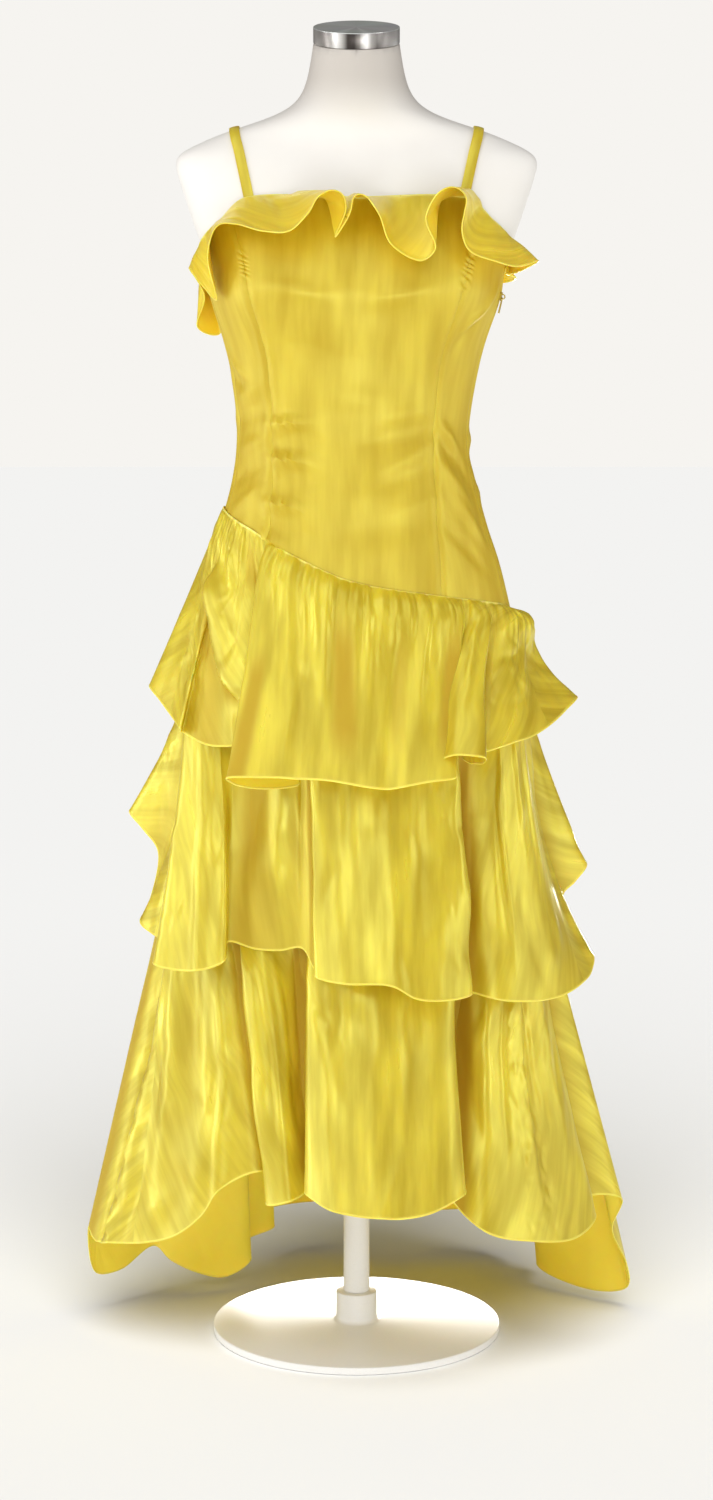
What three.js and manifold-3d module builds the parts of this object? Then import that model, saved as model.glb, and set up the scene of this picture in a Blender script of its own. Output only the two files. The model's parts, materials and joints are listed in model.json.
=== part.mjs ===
// A strappy high-low dress on a limbless dress form, in millimetres, +Z up.
// The front of the dress faces -Y and the wearer's left is +X.
// The origin is the centre of the stand's base, on the floor.
import * as THREE from "three";
import { mergeVertices } from "three/addons/utils/BufferGeometryUtils.js";
import Module from "manifold-3d";

// ---------------------------------------------------------------- driving sizes

const DEG = Math.PI / 180;
const CLOTH = 1.5; // wall of the cloth
const SEAM_GAP = 0.3; // between two pieces that are sewn edge to edge
const LAP_GAP = 0.8; // between a piece and the one it is sewn on top of
const BODICE_CLEAR = 2; // from the form to the inside of the bodice
const BODICE_MID = BODICE_CLEAR + CLOTH / 2;
const LAP_MID = BODICE_MID + CLOTH + LAP_GAP;
const SEAM_LAP = 4; // height by which a flounce covers the edge it is sewn to
const FOLD_ROOM = 3; // least room between a flounce's folds and the skirt below them
const SIDE_SEAM = 78; // angle of the side seams from the front centre
const BACK_PRINCESS = 148; // angle of the back princess seams

const STRAP = { width: 11.5, wall: 1.5, clear: 1.3, above: 2.4, frontX: 107, shoulderX: 126, backX: 84, steps: 12 };
const POLE = { radius: 14, sides: 24 };
const BASE = { radius: 155, wall: 8, boss: 22, bossTop: 42 };
const CAP = { radius: 44.5, height: 16.2, edge: 1.5, tilt: 15.5 };

// The figure, by height: half width, shift of the centre to the left, half depth to the front and
// to the back, shift of the centre to the back, and forward tilt of the section.
const FIGURE = [
  { z: 600, side: 150, aside: 0, front: 94, back: 122, shift: 4, tilt: 0 },
  { z: 650, side: 163, aside: 0, front: 99, back: 127, shift: 4, tilt: 0 },
  { z: 740, side: 168, aside: 0, front: 102, back: 130, shift: 4, tilt: 0 },
  { z: 782, side: 162, aside: -3, front: 100, back: 124, shift: 4, tilt: 0 },
  { z: 830, side: 150, aside: -3, front: 96, back: 114, shift: 2, tilt: 0 },
  { z: 869, side: 137, aside: -3, front: 92, back: 104, shift: 0, tilt: 0 },
  { z: 917, side: 124, aside: -3, front: 88, back: 94, shift: 0, tilt: 0 },
  { z: 958, side: 118, aside: -4, front: 86, back: 90, shift: 0, tilt: 0 },
  { z: 1000, side: 121, aside: -3, front: 89, back: 90, shift: 0, tilt: 0 },
  { z: 1056, side: 132, aside: -2, front: 100, back: 92, shift: 0, tilt: 0 },
  { z: 1105, side: 147, aside: -1, front: 110, back: 94, shift: 0, tilt: 0 },
  { z: 1135, side: 151, aside: 0, front: 110, back: 96, shift: 2, tilt: 0 },
  { z: 1165, side: 164, aside: 0, front: 104, back: 98, shift: 4, tilt: 0 },
  { z: 1190, side: 173, aside: 0, front: 95, back: 97, shift: 8, tilt: 0 },
  { z: 1215, side: 181, aside: 0, front: 84, back: 92, shift: 12, tilt: 0 },
  { z: 1240, side: 189, aside: 0, front: 70, back: 80, shift: 15, tilt: 0 },
  { z: 1252, side: 186, aside: 0, front: 62, back: 70, shift: 16, tilt: 0 },
  { z: 1264, side: 163, aside: 0, front: 55, back: 61, shift: 16, tilt: 0 },
  { z: 1275, side: 136, aside: 0, front: 52, back: 56, shift: 16, tilt: 0 },
  { z: 1288, side: 96, aside: 0, front: 52, back: 54, shift: 15, tilt: 1 },
  { z: 1299, side: 71, aside: 0, front: 53, back: 54, shift: 13, tilt: 3 },
  { z: 1312, side: 57, aside: 0, front: 53, back: 54, shift: 10, tilt: 7 },
  { z: 1330, side: 50, aside: 0, front: 50, back: 51, shift: 6, tilt: 12 },
  { z: 1364, side: 44.5, aside: 0, front: 44.5, back: 44.5, shift: 0, tilt: 15.5 },
];
const FORM_RINGS = [
  600, 606, 650, 700, 745, 785, 830, 869, 910, 945, 975, 1010, 1056, 1085, 1110, 1138, 1165, 1190,
  1215, 1236, 1248, 1256, 1264, 1270, 1276, 1282, 1288, 1294, 1302, 1314, 1334, 1364,
];
const FORM_SECTORS = 40;
const BUST = { angle: 36, angleSpread: 28, z: 1112, above: 52, below: 46, lift: 15, cupRoom: 0.3 };

const HIP_Z = 740;
// The base skirt below the hips, which leaves the form and hangs to the third tier.
const BASE_SKIRT = [
  { z: 420, side: 184, aside: 0, front: 112, back: 146, shift: 4 },
  { z: 520, side: 180, aside: 0, front: 108, back: 142, shift: 4 },
  { z: 620, side: 174, aside: 0, front: 104, back: 134, shift: 4 },
  { z: 740, side: 168, aside: 0, front: 102, back: 130, shift: 4 },
];

// Heights of the bodice's top edge, the diagonal dropped seam and the seams of tiers 2 and 3,
// by the angle round the body: 0 is the front centre and +90 the wearer's left.
const TOP_EDGE = [
  { angle: -180, z: 1142 },
  { angle: -120, z: 1146 },
  { angle: -90, z: 1152 },
  { angle: -72, z: 1162 },
  { angle: -52, z: 1182 },
  { angle: -38, z: 1204 },
  { angle: 0, z: 1203 },
  { angle: 38, z: 1204 },
  { angle: 52, z: 1182 },
  { angle: 72, z: 1162 },
  { angle: 90, z: 1152 },
  { angle: 120, z: 1146 },
  { angle: 180, z: 1142 },
];
const DROPPED_SEAM = [
  { angle: -180, z: 838 },
  { angle: -130, z: 872 },
  { angle: -90, z: 885 },
  { angle: -50, z: 866 },
  { angle: -22, z: 836 },
  { angle: 0, z: 812 },
  { angle: 32, z: 797 },
  { angle: 66, z: 786 },
  { angle: 90, z: 776 },
  { angle: 130, z: 794 },
  { angle: 180, z: 838 },
];
const TIER_2_SEAM = [
  { angle: -180, z: 700 },
  { angle: -90, z: 742 },
  { angle: -50, z: 705 },
  { angle: 0, z: 664 },
  { angle: 50, z: 690 },
  { angle: 90, z: 728 },
  { angle: 180, z: 700 },
];
const TIER_3_SEAM = [
  { angle: -180, z: 586 },
  { angle: -110, z: 598 },
  { angle: -90, z: 570 },
  { angle: -60, z: 500 },
  { angle: 0, z: 474 },
  { angle: 50, z: 466 },
  { angle: 90, z: 520 },
  { angle: 115, z: 560 },
  { angle: 180, z: 586 },
];
const FRONT_PRINCESS = [
  { z: 800, angle: 34 },
  { z: 868, angle: 38 },
  { z: 958, angle: 43 },
  { z: 1060, angle: 42 },
  { z: 1105, angle: 41 },
  { z: 1145, angle: 44 },
  { z: 1206, angle: 47 },
];

// Folds of the flounces. Each row is the edge or the bottom of one fold: the angle at which it
// leaves the seam, and where it ends at the hem. Where the hem turns back, the folds overlap.
// puff is how far the gathers stand out below the seam. flare over 1 turns the fold out lower down.
const RUFFLE_FOLDS = [
  { seam: -107, x: -146, y: 50, z: 1068 },
  { seam: -98, x: -167, y: 28, z: 1075 },
  { seam: -89, x: -158, y: 4, z: 1106 },
  { seam: -80, x: -173, y: -22, z: 1134 },
  { seam: -74, x: -160, y: -48, z: 1118 },
  { seam: -66, x: -142, y: -72, z: 1100 },
  { seam: -58, x: -150, y: -88, z: 1142 },
  { seam: -52, x: -140, y: -104, z: 1172 },
  { seam: -44, x: -120, y: -122, z: 1173 },
  { seam: -36, x: -92, y: -140, z: 1165 },
  { seam: -29, x: -66, y: -150, z: 1166 },
  { seam: -25, x: -48, y: -153, z: 1181 },
  { seam: -22, x: -36, y: -152, z: 1198 },
  { seam: -17, x: -15, y: -146, z: 1199 },
  { seam: -13, x: -10, y: -136, z: 1187 },
  { seam: -9, x: -21, y: -128, z: 1160 },
  { seam: -5, x: -9, y: -138, z: 1177 },
  { seam: -1, x: 1, y: -150, z: 1197 },
  { seam: 4, x: 9, y: -154, z: 1197 },
  { seam: 9, x: 22, y: -152, z: 1181 },
  { seam: 14, x: 34, y: -146, z: 1152 },
  { seam: 21, x: 64, y: -142, z: 1136 },
  { seam: 27, x: 78, y: -138, z: 1148 },
  { seam: 31, x: 68, y: -144, z: 1178 },
  { seam: 35, x: 80, y: -142, z: 1197 },
  { seam: 40, x: 102, y: -130, z: 1197 },
  { seam: 44, x: 102, y: -118, z: 1174 },
  { seam: 49, x: 112, y: -112, z: 1148 },
  { seam: 55, x: 140, y: -102, z: 1137 },
  { seam: 62, x: 162, y: -84, z: 1133 },
  { seam: 70, x: 186, y: -52, z: 1140 },
  { seam: 77, x: 167, y: -26, z: 1130 },
  { seam: 85, x: 159, y: -4, z: 1129 },
  { seam: 93, x: 158, y: 16, z: 1130 },
];
const TIER_1_FOLDS = [
  { seam: -90, x: -219, y: 0, z: 700 },
  { seam: -83, x: -205, y: -30, z: 686 },
  { seam: -76, x: -191, y: -54, z: 671 },
  { seam: -71, x: -182, y: -74, z: 662 },
  { seam: -67, x: -181, y: -62, z: 658 },
  { seam: -58, x: -155, y: -84, z: 647 },
  { seam: -51, x: -132, y: -108, z: 648 },
  { seam: -45, x: -110, y: -126, z: 652 },
  { seam: -41, x: -83, y: -134, z: 629, flare: 1.3 },
  { seam: -39, x: -58, y: -142, z: 614, flare: 1.3 },
  { seam: -37, x: -107, y: -166, z: 613, puff: 4 },
  { seam: -35.5, x: -131, y: -178, z: 624, puff: 8 },
  { seam: -28, x: -94, y: -192, z: 627, puff: 12 },
  { seam: -8, x: -31, y: -198, z: 625, puff: 12 },
  { seam: 14, x: 27, y: -200, z: 617, puff: 12 },
  { seam: 31, x: 73, y: -194, z: 623, puff: 12 },
  { seam: 40, x: 99, y: -184, z: 626, puff: 12 },
  { seam: 43, x: 80, y: -168, z: 636, puff: 2 },
  { seam: 46, x: 96, y: -184, z: 648, puff: 12 },
  { seam: 50, x: 126, y: -182, z: 645, puff: 16 },
  { seam: 53, x: 116, y: -154, z: 636, puff: 4, flare: 1.3 },
  { seam: 57, x: 108, y: -138, z: 640, puff: 2, flare: 1.4 },
  { seam: 61, x: 135, y: -128, z: 646, puff: 4 },
  { seam: 67, x: 164, y: -108, z: 653, puff: 8 },
  { seam: 73, x: 182, y: -84, z: 656, puff: 12 },
  { seam: 79, x: 203, y: -52, z: 665, puff: 16, flare: 1.5 },
  { seam: 85, x: 220, y: -22, z: 676, puff: 20, flare: 1.6 },
  { seam: 92, x: 234, y: 12, z: 687, puff: 18, flare: 1.5 },
];
const TIER_2_FOLDS = [
  { seam: -101, x: -245, y: 45, z: 560, flare: 1.5 },
  { seam: -95, x: -230, y: 28, z: 543, flare: 1.6 },
  { seam: -90, x: -212, y: 12, z: 520, flare: 2.2 },
  { seam: -86, x: -222, y: -2, z: 465, flare: 2.6 },
  { seam: -82, x: -230, y: -16, z: 449, flare: 2.6 },
  { seam: -77, x: -206, y: -40, z: 436, flare: 1.9 },
  { seam: -71, x: -190, y: -66, z: 430 },
  { seam: -66, x: -204, y: -88, z: 418, puff: 6 },
  { seam: -61, x: -182, y: -112, z: 416, puff: 10 },
  { seam: -55, x: -155, y: -132, z: 421, puff: 10 },
  { seam: -51, x: -135, y: -138, z: 431, puff: 8 },
  { seam: -46, x: -132, y: -112, z: 446, puff: 2, flare: 1.5 },
  { seam: -37, x: -104, y: -120, z: 440, flare: 1.3 },
  { seam: -28, x: -78, y: -128, z: 440, flare: 1.3 },
  { seam: -19, x: -56, y: -136, z: 444, flare: 1.4 },
  { seam: -13, x: -38, y: -164, z: 421, puff: 8 },
  { seam: -6, x: -12, y: -192, z: 418, puff: 14 },
  { seam: 4, x: 33, y: -206, z: 419, puff: 16 },
  { seam: 14, x: 61, y: -208, z: 406, puff: 16 },
  { seam: 24, x: 94, y: -198, z: 403, puff: 18 },
  { seam: 30, x: 116, y: -178, z: 405, puff: 18 },
  { seam: 34, x: 104, y: -144, z: 410, puff: 2, flare: 1.4 },
  { seam: 42, x: 118, y: -136, z: 399, flare: 1.5 },
  { seam: 51, x: 147, y: -140, z: 391, puff: 6 },
  { seam: 60, x: 178, y: -128, z: 387, puff: 8 },
  { seam: 69, x: 211, y: -98, z: 386, puff: 4 },
  { seam: 77, x: 236, y: -62, z: 392, flare: 1.7 },
  { seam: 84, x: 250, y: -22, z: 401, flare: 2.5 },
  { seam: 89, x: 242, y: 8, z: 426, flare: 2.7 },
  { seam: 94, x: 223, y: 24, z: 471, flare: 1.9 },
  { seam: 98, x: 236, y: 40, z: 483, flare: 1.4 },
  { seam: 103, x: 250, y: 58, z: 501, flare: 1.3 },
];
const TIER_3_FOLDS = [
  { seam: -143, x: -95, y: 205, z: 52 },
  { seam: -137, x: -129, y: 172, z: 43 },
  { seam: -131, x: -120, y: 146, z: 30 },
  { seam: -125, x: -148, y: 127, z: 16 },
  { seam: -120, x: -178, y: 116, z: 24 },
  { seam: -115, x: -209, y: 110, z: 41 },
  { seam: -111, x: -227, y: 112, z: 57 },
  { seam: -107, x: -262, y: 86, z: 38 },
  { seam: -103, x: -288, y: 60, z: 42, flare: 1 },
  { seam: -97, x: -292, y: 20, z: 105, flare: 1 },
  { seam: -90, x: -280, y: -20, z: 102, flare: 1 },
  { seam: -83, x: -255, y: -48, z: 108 },
  { seam: -74, x: -217, y: -86, z: 120, puff: 2 },
  { seam: -66, x: -189, y: -112, z: 135, puff: 4 },
  { seam: -58, x: -164, y: -130, z: 158, puff: 4 },
  { seam: -51, x: -138, y: -134, z: 192, puff: 2 },
  { seam: -45, x: -97, y: -146, z: 213, flare: 1.4 },
  { seam: -41, x: -80, y: -146, z: 204, flare: 1.4 },
  { seam: -38, x: -92, y: -172, z: 186, puff: 8 },
  { seam: -30, x: -67, y: -190, z: 194, puff: 12 },
  { seam: -21, x: -46, y: -162, z: 202, flare: 1.4 },
  { seam: -17, x: -52, y: -180, z: 214, flare: 1.4 },
  { seam: -13, x: -42, y: -220, z: 207, puff: 12 },
  { seam: -9, x: -26, y: -246, z: 201, puff: 16 },
  { seam: -2, x: -9, y: -256, z: 199, puff: 16 },
  { seam: 8, x: 28, y: -263, z: 196, puff: 16 },
  { seam: 18, x: 73, y: -256, z: 200, puff: 16 },
  { seam: 25, x: 102, y: -232, z: 211, puff: 18 },
  { seam: 28, x: 93, y: -190, z: 214, puff: 4, flare: 1.3 },
  { seam: 35, x: 99, y: -174, z: 188, flare: 1.5 },
  { seam: 44, x: 133, y: -186, z: 160, puff: 6 },
  { seam: 56, x: 180, y: -168, z: 146, puff: 8 },
  { seam: 69, x: 227, y: -124, z: 136, puff: 4 },
  { seam: 77, x: 250, y: -84, z: 146 },
  { seam: 81, x: 243, y: -58, z: 160 },
  { seam: 86, x: 285, y: -20, z: 148, flare: 1 },
  { seam: 91, x: 277, y: 4, z: 108, flare: 1 },
  { seam: 96, x: 296, y: 34, z: 60, flare: 1 },
  { seam: 104, x: 299, y: 70, z: 21, flare: 1 },
  { seam: 112, x: 262, y: 100, z: 10 },
  { seam: 120, x: 206, y: 150, z: 22 },
  { seam: 127, x: 214, y: 186, z: 36 },
];
// The folds at the back, made by a rule: how many, between which seam angles, how far their
// crests and hollows stand off the body at the hem, and the hem's height from left to right.
const BACK_FOLDS = {
  ruffle: { count: 5, from: 102, to: 244, crest: 32, hollow: 11, z: [1130, 1098, 1082] },
  tier1: { count: 4, from: 103, to: 258, crest: 62, hollow: 31, z: [672, 636, 690] },
  tier2: { count: 4, from: 114, to: 248, crest: 96, hollow: 42, z: [510, 514, 556] },
  tier3: { count: 2, from: 138, to: 206, crest: 140, hollow: 82, z: [50, 60, 62] },
};
const CREST_SPREAD = 3.5; // degrees by which a back fold's crest is wider than its hollow

// The zip's slider and its pull tab, which turns about the centre of the slider's ring.
const ZIP = {
  z: 1106,
  sink: 0.9, // the panels' facets lie this far inside their true curve
  body: { width: 7, height: 9, depth: 2.4, corner: 2 },
  ring: { out: 3.3, inner: 2.05, outer: 3.15, width: 1.3 },
  tab: { width: 5, wall: 1, top: -0.6, bottom: -17.6, corner: 2 },
  eye: { halfWidth: 1.3, top: -1.6, bottom: -3.6, corner: 0.5 },
  slot: { halfWidth: 1.3, top: -5.2, bottom: -16.2, corner: 0.8 },
};

const COLOURS = {
  cloth: { color: 0xdcc545, roughness: 0.45, metalness: 0 },
  form: { color: 0xf3eee6, roughness: 0.55, metalness: 0 },
  steel: { color: 0xb9bcbe, roughness: 0.3, metalness: 1 },
  lacquer: { color: 0xf2f2f0, roughness: 0.35, metalness: 0 },
  zip: { color: 0xd8c24a, roughness: 0.4, metalness: 0.3 },
};

// ---------------------------------------------------------------- tables and curves

// A row of a table worked out at any value of one column, on a smooth curve through the rows.
function rowAt(table, key, value) {
  const last = table.length - 1;
  const at = THREE.MathUtils.clamp(value, table[0][key], table[last][key]);
  let i = 0;
  while (i < last - 1 && at > table[i + 1][key]) i++;
  const [before, from, to, after] = [i - 1, i, i + 1, i + 2].map((n) => table[THREE.MathUtils.clamp(n, 0, last)]);
  const span = to[key] - from[key];
  const t = (at - from[key]) / span;
  const row = {};
  for (const name of Object.keys(from)) {
    const slopeIn = ((to[name] - before[name]) / (to[key] - before[key])) * span;
    const slopeOut = ((after[name] - from[name]) / (after[key] - from[key])) * span;
    row[name] = hermite(from[name], slopeIn, to[name], slopeOut, t);
  }
  return row;
}

function hermite(from, slopeIn, to, slopeOut, t) {
  const t2 = t * t;
  const t3 = t2 * t;
  return from * (2 * t3 - 3 * t2 + 1) + slopeIn * (t3 - 2 * t2 + t) + to * (3 * t2 - 2 * t3) + slopeOut * (t3 - t2);
}

// An angle brought between -180 and 180 degrees.
function turned(angle) {
  return angle - 360 * Math.round(angle / 360);
}

function heightOf(table, angle) {
  return rowAt(table, "angle", turned(angle)).z;
}

// ---------------------------------------------------------------- figure

function bustLift(angle, z) {
  const aside = (Math.abs(turned(angle)) - BUST.angle) / BUST.angleSpread;
  const along = (z - BUST.z) / (z > BUST.z ? BUST.above : BUST.below);
  return BUST.lift * Math.exp(-aside * aside - along * along);
}

function sectionPoint(section, angle, z, offset) {
  const turn = angle * DEG;
  const depth = Math.cos(turn) > 0 ? section.front : section.back;
  const x = section.aside + (section.side + offset) * Math.sin(turn);
  const y = section.shift - (depth + offset) * Math.cos(turn);
  return new THREE.Vector3(x, y, z);
}

// A point on the figure at an angle round the body and a height, moved out by an offset. The cups
// stand a little proud of the form.
function figurePoint(angle, z, offset) {
  const section = rowAt(FIGURE, "z", z);
  const bust = bustLift(angle, z) * (offset > 0 ? 1 : 1 - BUST.cupRoom);
  const point = sectionPoint(section, angle, z, offset + bust);
  point.z += (point.y - section.shift) * Math.tan(section.tilt * DEG);
  return point;
}

function figureNormal(angle, z) {
  const step = 0.5;
  const across = figurePoint(angle + step, z, 0).sub(figurePoint(angle - step, z, 0));
  const up = figurePoint(angle, z + step, 0).sub(figurePoint(angle, z - step, 0));
  return across.cross(up).normalize();
}

// A point on the base skirt, which follows the figure down to the hips.
function baseSkirtPoint(angle, z, offset) {
  if (z > HIP_Z) return figurePoint(angle, z, offset);
  return sectionPoint(rowAt(BASE_SKIRT, "z", z), angle, z, offset);
}

// Moves a point of a flounce that would sink into the body or the base skirt out onto it.
function keptOut(point, room) {
  const section = rowAt(point.z > HIP_Z ? FIGURE : BASE_SKIRT, "z", point.z);
  const depth = point.y < section.shift ? section.front : section.back;
  const aside = (point.x - section.aside) / (section.side + room);
  const ahead = (point.y - section.shift) / (depth + room);
  const reach = Math.min(Math.hypot(aside, ahead), 1);
  point.x = section.aside + (point.x - section.aside) / reach;
  point.y = section.shift + (point.y - section.shift) / reach;
  return point;
}

// ---------------------------------------------------------------- closed walls

// A closed wall between two grids of points. Columns run to the wearer's left and rows run down.
function wallGeometry(outer, inner) {
  const columns = outer.length;
  const rows = outer[0].length;
  const positions = [];
  for (const grid of [outer, inner]) for (const column of grid) for (const p of column) positions.push(p.x, p.y, p.z);
  const out = (i, j) => i * rows + j;
  const into = (i, j) => columns * rows + i * rows + j;
  const index = [];
  const quad = (a, b, c, d) => index.push(a, b, c, a, c, d);
  for (let i = 0; i < columns - 1; i++) {
    for (let j = 0; j < rows - 1; j++) {
      quad(out(i, j), out(i, j + 1), out(i + 1, j + 1), out(i + 1, j));
      quad(into(i, j), into(i + 1, j), into(i + 1, j + 1), into(i, j + 1));
    }
    quad(out(i, 0), out(i + 1, 0), into(i + 1, 0), into(i, 0));
    quad(out(i, rows - 1), into(i, rows - 1), into(i + 1, rows - 1), out(i + 1, rows - 1));
  }
  for (let j = 0; j < rows - 1; j++) {
    const end = columns - 1;
    quad(out(0, j), into(0, j), into(0, j + 1), out(0, j + 1));
    quad(out(end, j), out(end, j + 1), into(end, j + 1), into(end, j));
  }
  const geometry = new THREE.BufferGeometry();
  geometry.setAttribute("position", new THREE.Float32BufferAttribute(positions, 3));
  geometry.setIndex(index);
  return geometry;
}

// The middle surface of a piece, given its wall: each point moves out and in by half of it.
function sheetGeometry(middle, wall) {
  const columns = middle.length;
  const rows = middle[0].length;
  const at = (i, j) =>
    middle[THREE.MathUtils.clamp(i, 0, columns - 1)][THREE.MathUtils.clamp(j, 0, rows - 1)];
  const moved = (distance) =>
    middle.map((column, i) =>
      column.map((point, j) => {
        const across = at(i + 1, j).clone().sub(at(i - 1, j));
        const down = at(i, j + 1).clone().sub(at(i, j - 1));
        const normal = down.cross(across).normalize();
        return point.clone().addScaledVector(normal, distance);
      }),
    );
  return wallGeometry(moved(wall / 2), moved(-wall / 2));
}

// ---------------------------------------------------------------- dress pieces

function evenSteps(count) {
  return Array.from({ length: count + 1 }, (_, i) => i / count);
}

// A bodice panel between two seams, each given as the seam's angle at a height.
function bodicePanel(seamFrom, seamTo, columns, rows) {
  const layer = (offset) =>
    evenSteps(columns).map((across) =>
      evenSteps(rows).map((down) => {
        let z = 1000;
        let angle = 0;
        for (let pass = 0; pass < 6; pass++) {
          const trim = (SEAM_GAP / 2 / rowAt(FIGURE, "z", z).front) / DEG;
          angle = THREE.MathUtils.lerp(seamFrom(z) + trim, seamTo(z) - trim, across);
          z = THREE.MathUtils.lerp(heightOf(TOP_EDGE, angle), heightOf(DROPPED_SEAM, angle), down);
        }
        return figurePoint(angle, z, offset);
      }),
    );
  return wallGeometry(layer(BODICE_CLEAR + CLOTH), layer(BODICE_CLEAR));
}

function frontPrincess(z) {
  return rowAt(FRONT_PRINCESS, "z", z).angle;
}

// The rows of the back folds: each has a hollow, a side, a crest and a side.
function backFolds({ count, from, to, crest, hollow, z }, bodyPoint) {
  return evenSteps(4 * count).map((along, i) => {
    const phase = (i * Math.PI) / 2;
    const uneven = 1 + 0.12 * Math.sin(1.7 * i) + 0.08 * Math.sin(0.9 * i + 1);
    const reach = THREE.MathUtils.lerp(hollow, crest * uneven, (1 - Math.cos(phase)) / 2);
    const [first, second, part] = along < 0.5 ? [z[0], z[1], 2 * along] : [z[1], z[2], 2 * along - 1];
    const seam = THREE.MathUtils.lerp(from, to, along);
    const hemAngle = seam - CREST_SPREAD * Math.sin(phase);
    const hem = bodyPoint(hemAngle, THREE.MathUtils.lerp(first, second, part), reach);
    return { seam, x: hem.x, y: hem.y, z: hem.z };
  });
}

// A flounce's surface: how far round its folds and how far down from seam to hem give a point.
function flounce(folds, seamPoint, flare) {
  const hem = new THREE.CatmullRomCurve3(
    folds.map((fold) => new THREE.Vector3(fold.x, fold.y, fold.z)),
    true,
    "centripetal",
  );
  const count = folds.length;
  const seams = [...folds.map((fold) => fold.seam), folds[0].seam + 360];
  const puffs = [...folds, folds[0]].map((fold) => fold.puff ?? 0);
  const flares = [...folds, folds[0]].map((fold) => fold.flare ?? flare);
  const between = (list, along) => {
    const i = Math.floor(along) % count;
    return THREE.MathUtils.lerp(list[i], list[i + 1], along - Math.floor(along));
  };
  // Where round the folds the seam has a given angle.
  const alongAt = (angle) => {
    if (angle >= seams[count]) return count + alongAt(angle - 360);
    const i = seams.findIndex((seam) => seam > angle) - 1;
    return i + (angle - seams[i]) / (seams[i + 1] - seams[i]);
  };
  const point = (along, down) => {
    const from = seamPoint(between(seams, along));
    const to = hem.getPoint(along / count);
    const out = down ** between(flares, along);
    const near = down / 0.12;
    const puff = between(puffs, along) * near * Math.exp(1 - near);
    const aside = new THREE.Vector2(from.x, from.y).normalize();
    const x = THREE.MathUtils.lerp(from.x, to.x, out) + aside.x * puff;
    const y = THREE.MathUtils.lerp(from.y, to.y, out) + aside.y * puff;
    const room = LAP_MID + FOLD_ROOM * Math.min(1, down / 0.12);
    return keptOut(new THREE.Vector3(x, y, THREE.MathUtils.lerp(from.z, to.z, down)), room);
  };
  return { point, alongAt };
}

// One piece of a flounce, between the side seams at two angles.
function flouncePiece(surface, fromAngle, toAngle, downs) {
  const from = surface.alongAt(fromAngle);
  const to = surface.alongAt(toAngle);
  const alongs = [from];
  for (let half = Math.ceil(2 * from + 0.3); half / 2 < to - 0.15; half++) alongs.push(half / 2);
  alongs.push(to);
  const middle = alongs.map((along) => downs.map((down) => surface.point(along, down)));
  trimEnds(middle);
  return sheetGeometry(middle, CLOTH);
}

// Draws both end columns in by half of the seam's gap.
function trimEnds(middle) {
  const last = middle.length - 1;
  for (const [end, next] of [[0, 1], [last, last - 1]]) {
    middle[end] = middle[end].map((point, j) => {
      const inward = middle[next][j].clone().sub(point).normalize();
      return point.clone().addScaledVector(inward, SEAM_GAP);
    });
  }
}

function baseSkirtPiece(fromAngle, toAngle, columns, rows) {
  const trim = (SEAM_GAP / 2 / 130) / DEG;
  const layer = (offset) =>
    evenSteps(columns).map((across) => {
      const angle = THREE.MathUtils.lerp(fromAngle + trim, toAngle - trim, across);
      const top = heightOf(DROPPED_SEAM, angle) - 2 * SEAM_GAP;
      const bottom = heightOf(TIER_3_SEAM, angle);
      return evenSteps(rows).map((down) => baseSkirtPoint(angle, THREE.MathUtils.lerp(top, bottom, down), offset));
    });
  return wallGeometry(layer(BODICE_CLEAR + CLOTH), layer(BODICE_CLEAR));
}

// The angle at which the figure has a given distance aside, at a height.
function angleAside(x, z) {
  const side = rowAt(FIGURE, "z", z).side;
  return Math.asin(THREE.MathUtils.clamp(x / side, -1, 1)) / DEG;
}

// The height at which the shoulder's slope has a given half width.
function shoulderHeight(x) {
  let low = 1245;
  let high = 1300;
  for (let pass = 0; pass < 30; pass++) {
    const middle = (low + high) / 2;
    if (rowAt(FIGURE, "z", middle).side > x) low = middle;
    else high = middle;
  }
  return low;
}

// A strap from the front edge of the bodice, over the shoulder, to the back edge. side is -1 for
// the wearer's right and +1 for the left.
function strapGeometry(side) {
  const crest = shoulderHeight(STRAP.shoulderX);
  const halfPath = (endX, isBack) =>
    evenSteps(STRAP.steps).map((along) => {
      const rise = Math.sin((along * Math.PI) / 2);
      const x = THREE.MathUtils.lerp(endX, STRAP.shoulderX, rise);
      let angle = 0;
      let z = crest;
      for (let pass = 0; pass < 8; pass++) {
        const edge = heightOf(TOP_EDGE, isBack ? 180 - angle : angle) + STRAP.above;
        z = edge + (crest - edge) * rise;
        angle = angleAside(x, Math.min(z, shoulderHeight(x)));
      }
      const turn = side * (isBack ? 180 - angle : angle);
      const lift = STRAP.clear + STRAP.wall / 2 + ((1 - along) ** 3 * BODICE_CLEAR) / 2;
      return figurePoint(turn, z, 0).addScaledVector(figureNormal(turn, z), lift);
    });
  const path = [...halfPath(STRAP.frontX, false), ...halfPath(STRAP.backX, true).reverse().slice(1)];
  return bandGeometry(path, STRAP.width, STRAP.wall, side);
}

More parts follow.
